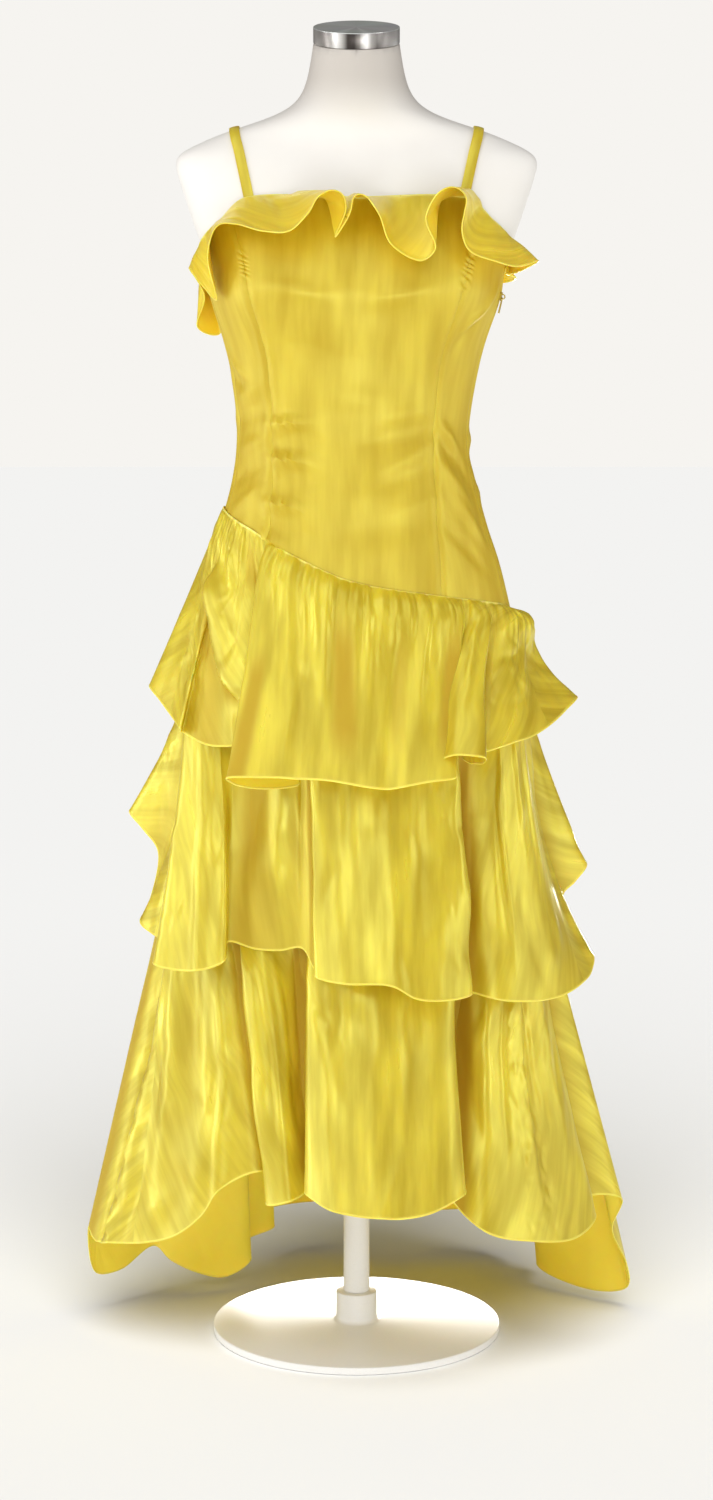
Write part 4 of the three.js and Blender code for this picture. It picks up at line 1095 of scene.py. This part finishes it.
def form_lacquer():
    """The form is a moulded shell in matt white lacquer: even, warm and hardly shiny, with the
    faint ripple of a sprayed coat, and painted shade that darkens it a little up the neck."""
    material, tree, shader = new_material(
        "moulded_shell_matt_white_lacquer", {"Roughness": 0.5, "Specular IOR Level": 0.35}
    )
    place = add_node(tree, "ShaderNodeTexCoord").outputs["Object"]
    _, rippled = mottled(tree, place, (30, 30, 30), 2, ("#EAE6E0", "#EEEBE6"))
    height = add_node(tree, "ShaderNodeSeparateXYZ", links={"Vector": place}).outputs["Z"]
    # painted shade up the neck, growing with height
    neck_shade_mask = add_node(
        tree, "ShaderNodeMapRange", {"interpolation_type": "SMOOTHSTEP"}, links={"Value": height},
        values={"From Min": 1265 * MM, "From Max": 1330 * MM, "To Max": 0.9},
    ).outputs["Result"]
    neck_painted_shade = tinted(tree, rippled, ((neck_shade_mask, "#BCB5AD"),))
    tree.links.new(neck_painted_shade, shader.inputs["Base Color"])
    grain = blotches(tree, place, (2, 2, 2), 2)["Fac"]
    embossed(tree, shader, ((grain, 0.1, 0.1),))
    return material


def spun_steel():
    """The neck cap is stainless steel, brushed round and round on a lathe. Its rim has the studio's
    reflections painted on as tall bright and dark bands, and its top is painted an even pale grey."""
    material, tree, shader = new_material(
        "spun_stainless_steel", {"Metallic": 0.6, "Roughness": 0.3}
    )
    place = add_node(tree, "ShaderNodeTexCoord").outputs["Object"]
    on_cap = add_node(
        tree, "ShaderNodeMapping", {"vector_type": "TEXTURE"}, links={"Vector": place},
        values={"Location": (0, 0, CAP["z"] * MM), "Rotation": (math.radians(CAP["tilt"]), 0, 0)},
    ).outputs["Vector"]
    front_ahead = add_node(
        tree, "ShaderNodeMapping", links={"Vector": on_cap},
        values={"Rotation": (0, 0, math.radians(90))},
    )
    round_rim = add_node(
        tree, "ShaderNodeTexGradient", {"gradient_type": "RADIAL"},
        links={"Vector": front_ahead.outputs["Vector"]},
    )
    # painted reflections of the studio round the rim
    bands = add_node(tree, "ShaderNodeValToRGB", links={"Fac": round_rim.outputs["Fac"]})
    stops = bands.color_ramp.elements
    while len(stops) > 1:
        stops.remove(stops[-1])
    for i, (angle, grey) in enumerate(STEEL_PAINTED_REFLECTIONS):
        stop = stops[0] if i == 0 else stops.new(0.5 + angle / 360)
        stop.position = 0.5 + angle / 360
        stop.color = linear(grey)
    brush = blotches(tree, on_cap, (30, 30, 0.5), 2)
    height = add_node(tree, "ShaderNodeSeparateXYZ", links={"Vector": on_cap}).outputs["Z"]
    is_top = add_node(
        tree, "ShaderNodeMapRange", links={"Value": height},
        values={
            "From Min": (CAP["height"] - 1.2) * MM, "From Max": (CAP["height"] - 0.7) * MM,
            "To Max": 0.75,
        },
    ).outputs["Result"]
    painted_reflection = tinted(tree, bands.outputs["Color"], ((is_top, "#CFD2D0"),))
    brushed = add_node(
        tree, "ShaderNodeMix", {"data_type": "RGBA", "blend_type": "OVERLAY"},
        links={"A": painted_reflection, "B": brush["Color"]}, values={"Factor": 0.12},
    )
    tree.links.new(brushed.outputs["Result"], shader.inputs["Base Color"])
    embossed(tree, shader, ((brush["Fac"], 0.15, 0.1),))
    return material


def stand_lacquer():
    """The stand is steel in white powder coat: fine orange peel and a dull gloss."""
    material, tree, shader = new_material("powder_coated_steel_white", {"Roughness": 0.4})
    place = add_node(tree, "ShaderNodeTexCoord").outputs["Object"]
    peel, colour = mottled(tree, place, (1.5, 1.5, 1.5), 1, ("#EFEDE9", "#F5F4F1"))
    tree.links.new(colour, shader.inputs["Base Color"])
    embossed(tree, shader, ((peel, 0.15, 0.08),))
    return material


def zip_enamel():
    """The zip's slider and tab are zinc, die cast and enamelled to match the cloth, and a little
    uneven where they are worn."""
    material, tree, shader = new_material(
        "enamelled_zinc_yellow", {"Metallic": 0.35, "Roughness": 0.35}
    )
    place = add_node(tree, "ShaderNodeTexCoord").outputs["Object"]
    _, worn = mottled(tree, place, (3, 3, 3), 3, ("#A9922A", "#C0A83C"))
    tree.links.new(worn, shader.inputs["Base Color"])
    return material


def floor_paper():
    """The floor is matt studio paper."""
    values = {"Base Color": linear("#E7E7E6"), "Roughness": 1.0, "Specular IOR Level": 0.0}
    return new_material("studio_paper_pale", values)[0]


# ---------------------------------------------------------------- the dress


def lapped(edge, surface):
    """The line where a flounce is sewn on, over a seam."""
    return lambda angle: surface(angle, height_of(edge, angle) + SEAM_LAP, LAP_MID)


def neck_seam(angle):
    return figure_point(angle, height_of(TOP_EDGE, angle) - 1, LAP_MID)


# The creases of each flounce, kind by kind, with the values that the kind's method in Ring takes.
# A crease, a fold or a deepening runs from an angle and a share of the drop to another such place.
#   gathers: seed, first and last angle, spacing, height, how far down they reach, width
#   folded_edge: both places, side, height, reach, lap, wiggle, sharpness
#   deepen: both places, width at each, amount of painted shade
#   crease: both places, width, height, wiggle
#   scatter: seed, count, angles and shares, half length, half width, height, lean
RUFFLE_CREASES = {
    "gathers": [(3, -104, 256, 5.0, 0.8, (0.25, 0.8), (2.5, 6))],
    "crease": [
        (-19, 0, -19, 1, 9, 4), (-1, 0, -1, 1, 7, 3), (38, 0, 38, 1, 13, 9),
        (43, 0, 43, 1, 10, 4), (-30, 0, -30, 1, 12, -1.5),
    ],
    "scatter": [(31, 60, (-104, 256, 0.15, 0.9), (6, 18), (2.5, 6), 0.7, 30)],
}
TIER_1_CREASES = {
    "gathers": [
        (11, -86, 265, 2.3, 1.5, (0.14, 0.6), (1.5, 4.5)),
        (14, -34, 74, 6.5, 1.3, (0.5, 1.0), (3, 6)),
    ],
    "folded_edge": [
        (-71, 0.2, -44, 0.88, 1, 14, 34, 9, 0.4, 0.9), (42, 0.03, 43, 0.9, 1, 7, 16, 2, 1),
        (53, 0.1, 52, 1.0, -1, 6, 18, 2, 0.5),
    ],
    "deepen": [
        (-71, 0.22, -57, 1.0, 3, 27, 0.5), (-72.5, 0.2, -46.5, 0.9, 6, 12, 0.8),
        (-3, 0.1, -1, 0.97, 9, 15, 0.9), (-31, 0.4, -32.5, 1.0, 7, 12, 0.9),
        (37, 0.1, 37, 0.97, 8, 14, 0.95), (18, 0.15, 18, 0.9, 6, 9, 0.45),
        (-47, 0.05, -45, 0.3, 5, 9, 0.5), (50.5, 0.1, 53.5, 1.0, 6, 12, 0.8),
    ],
    "crease": [
        (-36, 0.02, -36.4, 1.0, 3.5, 2.4), (-66, 0.02, -60, 0.3, 3.2, -2.4),
        (-61, 0.03, -53, 0.4, 4, 2.2), (-50, 0.0, -47, 0.28, 5, -3.0),
        (-7, 0.05, -5, 0.95, 7, -2.6, 1), (5, 0.0, 7, 0.75, 5, 2.0, 1),
        (16, 0.1, 16, 1.0, 8, -2.2, 1), (-19, 0.0, -17, 1.0, 6, -2.0, 1),
        (25, 0.1, 26, 0.95, 7, 2.4, 1), (35, 0.02, 34, 0.9, 7, -3.6, 1),
        (47, 0.05, 47, 0.9, 4, 3.0, 1.5),
    ],
    "scatter": [
        (41, 110, (-90, 270, 0.05, 0.95), (10, 36), (4, 10), 1.5, 22),
        (42, 50, (-84, -42, 0.1, 0.9), (5, 18), (2, 5), 1.3, 50),
        (43, 30, (54, 92, 0.15, 0.9), (6, 20), (2.5, 6), 1.2, 60),
    ],
}
TIER_2_CREASES = {
    "gathers": [
        (12, -100, 258, 2.6, 1.5, (0.1, 0.38)), (15, -100, 258, 9, 1.2, (0.6, 1.0), (5, 10)),
    ],
    "folded_edge": [
        (-66, 0.02, -66, 1.0, 1, 10, 24, 4, 0.8), (-20, 0.1, -20, 0.92, -1, 3, 12, 1, 0.5),
        (-14, 0.05, -13, 1.0, 1, 9, 26, 3, 0.8), (28, 0.02, 31.5, 0.95, -1, 10, 28, 5, 0.8),
        (52, 0.02, 56, 0.9, 1, 4, 18, 1, 0.8),
    ],
    "deepen": [
        (34, 0, 37, 1.0, 20, 19, 1.0), (-38, 0, -37, 1.0, 16, 26, 0.5),
        (-15.5, 0, -15.5, 1.0, 5, 5, 0.7), (-71.5, 0.3, -71, 1.0, 4, 9, 0.6),
    ],
    "crease": [
        (-80, 0.1, -78, 1, 9, 4, 1), (-73, 0.1, -71, 1, 6, -5, 1), (-58, 0.1, -57, 1, 6, 2.5, 1),
        (-50, 0.1, -54, 0.9, 6, -2.2, 1), (-34, 0.1, -45, 0.95, 16, -10, 2),
        (-26, 0.1, -28, 0.9, 8, 3.0, 2), (-3, 0.1, -4, 0.9, 9, -2.0, 1),
        (8, 0.1, 7, 1, 10, 2.2, 1), (17, 0.1, 17, 0.9, 8, -2.2, 1),
        (26.5, 0.05, 30, 0.95, 2.2, 1.6, 1.6), (35, 0.03, 38, 1, 12, -14, 0),
        (51.5, 0.04, 57, 0.98, 2.6, 3.2, 1.2), (59, 0.05, 64, 0.6, 3, 3.2, 1),
        (66, 0.1, 70, 0.9, 6, -2.4, 1), (84, 0.1, 86, 1, 10, 5, 1),
    ],
    "scatter": [
        (51, 110, (-100, 260, 0.05, 0.95), (12, 40), (6, 14), 1.9, 24),
        (52, 40, (24, 34, 0.1, 0.97), (3, 9), (1.2, 2.6), 1.1, 50),
        (53, 60, (-100, -62, 0.3, 1.0), (5, 18), (2, 6), 1.3, 40),
    ],
}
TIER_3_CREASES = {
    "gathers": [
        (13, -140, 214, 3.0, 1.6, (0.1, 0.38)), (16, -140, 214, 11, 1.4, (0.6, 1.0), (6, 13)),
    ],
    "folded_edge": [
        (-76, 0.1, -86, 1.0, 1, 11, 26, 4, 1), (-38.5, 0.02, -38, 0.97, 1, 7, 22, 2, 1),
        (-13, 0.02, -14, 1.0, 1, 10, 28, 3, 0.6), (26, 0.02, 26.5, 1.0, -1, 11, 30, 4, 1),
        (57, 0.05, 60, 0.95, -1, 4, 12, 1, 1.5),
    ],
    "deepen": [
        (33.5, 0, 33.5, 1.0, 22, 25, 1.0), (-18.5, 0, -18.5, 1.0, 7, 8, 0.9),
        (-42, 0, -43, 1.0, 8, 9, 0.6), (-92, 0.05, -94, 1.0, 14, 20, 0.9),
    ],
    "crease": [
        (-72, 0.1, -74, 1, 14, 3, 2), (-60, 0.1, -62, 0.9, 14, -3, 2),
        (-48, 0.1, -52, 1, 9, 3, 2), (-44, 0.02, -44, 1, 7, -5, 0),
        (-33, 0.1, -32, 0.97, 5, -2.4, 1), (-27, 0.1, -27, 0.97, 5, 2.4, 1),
        (-18, 0.02, -18, 1, 8, -12, 0), (-4, 0.1, -4, 0.9, 10, -2.2, 2),
        (6, 0.1, 5, 1, 12, 2.4, 2), (14, 0.1, 15, 0.9, 10, -2.4, 2),
        (34, 0.02, 34, 0.92, 14, -20, 0), (45, 0.1, 44, 0.9, 8, 3, 1),
        (51, 0.1, 50, 0.9, 4, -2.4, 1), (60, 0.1, 63, 0.95, 5, -2.6, 1),
        (68, 0.1, 72, 0.9, 8, 3, 2),
    ],
    "scatter": [
        (61, 130, (-140, 216, 0.05, 0.95), (16, 60), (8, 18), 2.4, 24),
        (62, 90, (52, 64, 0.08, 0.97), (4, 12), (1.4, 3.2), 1.5, 55),
        (63, 40, (-90, -70, 0.15, 1.0), (5, 20), (2, 5), 1.4, 30),
    ],
}

PAINTED_TONES = (0.8, (0.0, 1.0), 0.0)  # painted shade in the folds; inner face painted as lit from behind
FLOUNCES = [
    # name, seen folds, seam, flare, creases, columns in front and behind and rows, tones
    # The ruffle: no painted shade in its folds, a painted backlit yellow on its outer and inner
    # face, and a little painted shade on its inner face.
    (
        "neck_ruffle", RUFFLE_FOLDS, neck_seam, 0.8,
        RUFFLE_CREASES, (320, 180, 20), (0, (0.4, 0.7), 0.1),
    ),
    (
        "tier_1", TIER_1_FOLDS, lapped(DROPPED_SEAM, figure_point), 1.05,
        TIER_1_CREASES, (600, 240, 60), PAINTED_TONES,
    ),
    (
        "tier_2", TIER_2_FOLDS, lapped(TIER_2_SEAM, base_skirt_point), 1.1,
        TIER_2_CREASES, (450, 270, 64), PAINTED_TONES,
    ),
    (
        "tier_3", TIER_3_FOLDS, lapped(TIER_3_SEAM, base_skirt_point), 1.15,
        TIER_3_CREASES, (450, 300, 74), PAINTED_TONES,
    ),
]


def straight_seam(angle):
    """A seam that stays at one angle round the body."""
    return lambda z: np.full(np.shape(z), float(angle))


def right_princess(z):
    return -front_princess(z)


BODICE_PANELS = [
    # name, seam at its right, seam at its left, columns
    ("bodice_front_centre", right_princess, front_princess, 110),
    ("bodice_side_front_right", straight_seam(-SIDE_SEAM), right_princess, 56),
    ("bodice_side_front_left", front_princess, straight_seam(SIDE_SEAM), 56),
    ("bodice_side_back_left", straight_seam(SIDE_SEAM), straight_seam(BACK_PRINCESS), 64),
    (
        "bodice_side_back_right",
        straight_seam(360 - BACK_PRINCESS), straight_seam(360 - SIDE_SEAM), 64,
    ),
    ("bodice_back_centre", straight_seam(BACK_PRINCESS), straight_seam(360 - BACK_PRINCESS), 56),
]
BODICE_ROWS = 120
SKIRT_PANELS = [
    # name, angle at its right, angle at its left, columns, rows
    ("base_skirt_front", -SIDE_SEAM, SIDE_SEAM, 60, 40),
    ("base_skirt_back", SIDE_SEAM, 360 - SIDE_SEAM, 70, 40),
]


def make_dress(satin):
    for name, seam_from, seam_to, columns in BODICE_PANELS:
        bodice_piece(name, seam_from, seam_to, columns, BODICE_ROWS, satin)
    for name, side in (("strap_right", -1), ("strap_left", 1)):
        strap_piece(name, side, satin)
    for name, seen, seam_point, flare, creases, sizes, tones in FLOUNCES:
        surface = Flounce(seen, back_folds(**BACK_FOLDS[name]), seam_point, flare)
        flounce_pieces(name, surface, sizes, creases, tones, satin)
    for name, angle_from, angle_to, columns, rows in SKIRT_PANELS:
        base_skirt_piece(name, angle_from, angle_to, columns, rows, satin)


# ---------------------------------------------------------------- the dress form

# The torso's rounding: doubles closer than the weld are merged, faces that bend less than flat are
# joined, and edges that bend more than sharp are creased.
TORSO = {"weld": 0.05, "flat": 60, "sharp": 55, "crease": 0.9, "levels": 2}


def smooth_torso(material):
    """The torso's own facets, merged and rounded by subdivision."""
    torso = frame["nodes"]["form_torso"].copy()
    torso.data = torso.data.copy()
    torso.name = "form_torso_shell"
    torso.parent = None
    torso.hide_render = False
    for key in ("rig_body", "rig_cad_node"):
        del torso[key]
    bpy.context.scene.collection.objects.link(torso)
    torso.matrix_world = Matrix.Identity(4)
    bpy.context.view_layer.objects.active = torso
    torso.select_set(True)
    bpy.ops.object.mode_set(mode="EDIT")
    bpy.ops.mesh.select_all(action="SELECT")
    bpy.ops.mesh.remove_doubles(threshold=TORSO["weld"] * MM)
    bpy.ops.mesh.tris_convert_to_quads(
        face_threshold=math.radians(TORSO["flat"]), shape_threshold=math.radians(180)
    )
    bpy.ops.mesh.select_mode(type="EDGE")
    bpy.ops.mesh.select_all(action="DESELECT")
    bpy.ops.mesh.edges_select_sharp(sharpness=math.radians(TORSO["sharp"]))
    bpy.ops.transform.edge_crease(value=TORSO["crease"])
    bpy.ops.object.mode_set(mode="OBJECT")
    rounding = torso.modifiers.new("rounding", "SUBSURF")
    rounding.levels = rounding.render_levels = TORSO["levels"]
    bpy.ops.object.modifier_apply(modifier="rounding")
    torso.select_set(False)
    torso.data.materials.clear()
    torso.data.materials.append(material)
    smooth_by_angle(torso, SHARP["torso"])
    return wear(torso, "form_torso")


CAP = {
    "radius": 44.5, "height": 16.2, "edge": 1.6, "dip": 0.3, "fans": (12, 16),
    "tilt": 15.5, "z": 1364.3, "rounding": 0.7, "sides": 144,
}
POLE = {"radius": 14, "bottom": 42.15, "top": 599.85, "rounding": 1, "sides": 64}
BASE = {
    "radius": 155, "wall": 8, "rise": 2, "boss": 22, "fillet": 3, "boss_top": 42,
    "rounding": 1.5, "sides": 192,
}
# The steel's painted reflections: the angle round the rim from the front, and the grey there.
STEEL_PAINTED_REFLECTIONS = [
    (-180, "#9A9794"), (-130, "#C9C7C4"), (-100, "#77736F"), (-69, "#A5A19D"), (-47, "#6B6662"),
    (-35, "#9A9692"), (-28, "#EFEDEA"), (-20, "#C2BFBB"), (-12, "#3A332F"), (-3, "#2E2825"),
    (4, "#6F6A66"), (14, "#F6F4F2"), (20, "#A5A19E"), (28, "#5E5A57"), (45, "#8E8A87"),
    (66, "#B9B6B3"), (95, "#6B6764"), (140, "#C4C2BF"), (180, "#9A9794"),
]


def select_level_faces(obj, height):
    """In edit mode, leaves selected only the faces that lie level at a height."""
    mesh = bmesh.from_edit_mesh(obj.data)
    for face in mesh.faces:
        centre = face.calc_center_median()
        face.select_set(abs(face.normal.z) > 0.99 and abs(centre.z - height * MM) < 0.1 * MM)
    bmesh.update_edit_mesh(obj.data)


def turned_disc(name, radius, bottom, top, sides):
    """A disc or rod, left in edit mode with its upper face selected."""
    bpy.ops.object.select_all(action="DESELECT")
    bpy.ops.mesh.primitive_cylinder_add(
        vertices=sides, radius=radius * MM, depth=(top - bottom) * MM,
        location=(0, 0, (bottom + top) / 2 * MM),
    )
    disc = bpy.context.object
    disc.name = disc.data.name = name
    bpy.ops.object.transform_apply(location=True, rotation=True, scale=True)
    bpy.ops.object.mode_set(mode="EDIT")
    bpy.ops.mesh.select_mode(type="FACE")
    select_level_faces(disc, top)
    return disc


def round_off(disc, width, material):
    """Leaves edit mode, rounds the edges and gives the finish."""
    bpy.ops.object.mode_set(mode="OBJECT")
    edge = disc.modifiers.new("edge", "BEVEL")
    edge.width = width * MM
    edge.segments = 3
    edge.limit_method = "ANGLE"
    edge.angle_limit = math.radians(35)
    bpy.ops.object.modifier_apply(modifier="edge")
    disc.data.materials.append(material)
    smooth_by_angle(disc, SHARP["turned"])


def neck_cap(material):
    """The steel cap: a rim, and a top that lies a little below it."""
    cap = turned_disc("neck_cap_turned", CAP["radius"], 0, CAP["height"], CAP["sides"])
    bpy.ops.mesh.inset(thickness=CAP["edge"] * MM)
    bpy.ops.transform.translate(value=(0, 0, -CAP["dip"] * MM))
    for width in CAP["fans"]:
        bpy.ops.mesh.inset(thickness=width * MM)
    round_off(cap, CAP["rounding"], material)
    cap.location = (0, 0, CAP["z"] * MM)
    cap.rotation_euler = (math.radians(CAP["tilt"]), 0, 0)
    cap.select_set(True)
    bpy.ops.object.transform_apply(location=True, rotation=True, scale=True)
    cap.select_set(False)
    wear(cap, "form_neck_cap")


def stand(material):
    """The pole, and the round foot with the boss that holds it."""
    pole = turned_disc(
        "stand_pole_turned", POLE["radius"], POLE["bottom"], POLE["top"], POLE["sides"]
    )
    round_off(pole, POLE["rounding"], material)
    wear(pole, "form_pole")
    foot = turned_disc("stand_foot_turned", BASE["radius"], 0, BASE["wall"], BASE["sides"])
    bpy.ops.mesh.inset(thickness=(BASE["radius"] - BASE["boss"] - BASE["fillet"]) * MM)
    bpy.ops.transform.translate(value=(0, 0, BASE["rise"] * MM))
    bpy.ops.mesh.inset(thickness=BASE["fillet"] * MM)
    bpy.ops.transform.translate(value=(0, 0, (BASE["rise"] + 1) * MM))
    boss = BASE["boss_top"] - BASE["wall"] - 2 * BASE["rise"] - 1
    bpy.ops.mesh.extrude_region_move(TRANSFORM_OT_translate={"value": (0, 0, boss * MM)})
    round_off(foot, BASE["rounding"], material)
    wear(foot, "form_base")


# ---------------------------------------------------------------- stage

CAMERA = {"place": (0, -3.0, 1.0), "down": 7.0, "lens": 68.47, "sensor": 36}
BACKDROP = "#F6F4F0"
STUDIO = {"light": "#FFFCF7", "strength": 0.18}
FLOOR = {"size": 80, "below": 0.5 * MM}
WASH = {"power": 3.87, "spread": 50, "tilt": 40}  # the sun lamp that lights the floor alone
SOFTBOXES = [
    # name, place, what it is aimed at, width and height, power
    ("softbox_front", (-0.9, -2.9, 2.0), (0, 0, 0.8), (1.8, 1.2), 20),
    ("softbox_top", (-0.2, -0.9, 2.8), (0, 0, 1.0), (2.4, 2.2), 20),
    ("softbox_right", (2.2, -1.2, 1.2), (0, 0, 0.7), (0.5, 1.8), 13),
    ("softbox_left", (-2.2, -1.1, 1.4), (0, 0, 0.8), (0.5, 1.8), 12),
    ("rim_right", (2.4, -0.2, 0.7), (0, 0, 0.6), (0.4, 1.2), 4),
    ("rim_left", (-2.4, 0.0, 0.8), (0, 0, 0.6), (0.4, 1.6), 14),
    ("softbox_low", (0.2, -2.7, 0.25), (0, 0, 0.6), (1.8, 0.4), 20),
    ("softbox_behind", (0.3, 2.3, 0.2), (0, 0, 0.25), (1.6, 0.3), 60),
]


def lay_floor():
    bpy.ops.mesh.primitive_plane_add(size=FLOOR["size"], location=(0, 0, -FLOOR["below"]))
    floor = bpy.context.object
    floor.name = "floor"
    floor.data.materials.append(floor_paper())
    floor.select_set(False)
    return floor


def light_studio():
    """Soft light from all round, in front of an even backdrop."""
    world = bpy.data.worlds.new("studio")
    world.use_nodes = True
    tree = world.node_tree
    seen = tree.nodes["Background"]
    seen.inputs["Color"].default_value = linear(BACKDROP)
    lit = add_node(
        tree, "ShaderNodeBackground",
        values={"Color": linear(STUDIO["light"]), "Strength": STUDIO["strength"]},
    )
    path = add_node(tree, "ShaderNodeLightPath")
    both = add_node(tree, "ShaderNodeMixShader", links={
        "Fac": path.outputs["Is Camera Ray"],
        1: lit.outputs["Background"],
        2: seen.outputs["Background"],
    })
    tree.links.new(both.outputs["Shader"], tree.nodes["World Output"].inputs["Surface"])
    bpy.context.scene.world = world
    bpy.context.scene.view_settings.view_transform = "Standard"


def put(name, data, place, turn):
    """Puts a lamp or the camera in its place."""
    holder = bpy.data.objects.new(name, data)
    holder.location = place
    holder.rotation_euler = turn
    bpy.context.scene.collection.objects.link(holder)
    return holder


def light_up(floor):
    """The softboxes light all but the floor, and the wash lights the floor alone."""
    no_floor = bpy.data.collections.new("lit_by_softboxes")
    no_floor.objects.link(floor)
    no_floor.collection_objects[0].light_linking.link_state = "EXCLUDE"
    for name, place, aim, size, power in SOFTBOXES:
        light = bpy.data.lights.new(name, "AREA")
        light.shape = "RECTANGLE"
        light.size, light.size_y = size
        light.energy = power
        turn = (Vector(aim) - Vector(place)).to_track_quat("-Z", "Y").to_euler()
        put(name, light, place, turn).light_linking.receiver_collection = no_floor
    only_floor = bpy.data.collections.new("lit_by_wash")
    only_floor.objects.link(floor)
    wash = bpy.data.lights.new("floor_wash", "SUN")
    wash.energy = WASH["power"]
    wash.angle = math.radians(WASH["spread"])
    turn = (math.radians(WASH["tilt"]), 0, 0)
    put("floor_wash", wash, (0, 0, 0), turn).light_linking.receiver_collection = only_floor


def set_camera():
    camera = bpy.data.cameras.new("camera")
    camera.lens = CAMERA["lens"]
    camera.sensor_width = CAMERA["sensor"]
    turn = (math.radians(90 - CAMERA["down"]), 0, 0)
    bpy.context.scene.camera = put("camera", camera, CAMERA["place"], turn)


def paint_nodes(names, material):
    for name in names:
        node = frame["nodes"][name]
        node.data.materials.clear()
        node.data.materials.append(material)


make_dress(satin_organza())
smooth_torso(form_lacquer())
neck_cap(spun_steel())
stand(stand_lacquer())
paint_nodes(["zip_slider", "zip_pull_tab"], zip_enamel())
light_studio()
light_up(lay_floor())
set_camera()
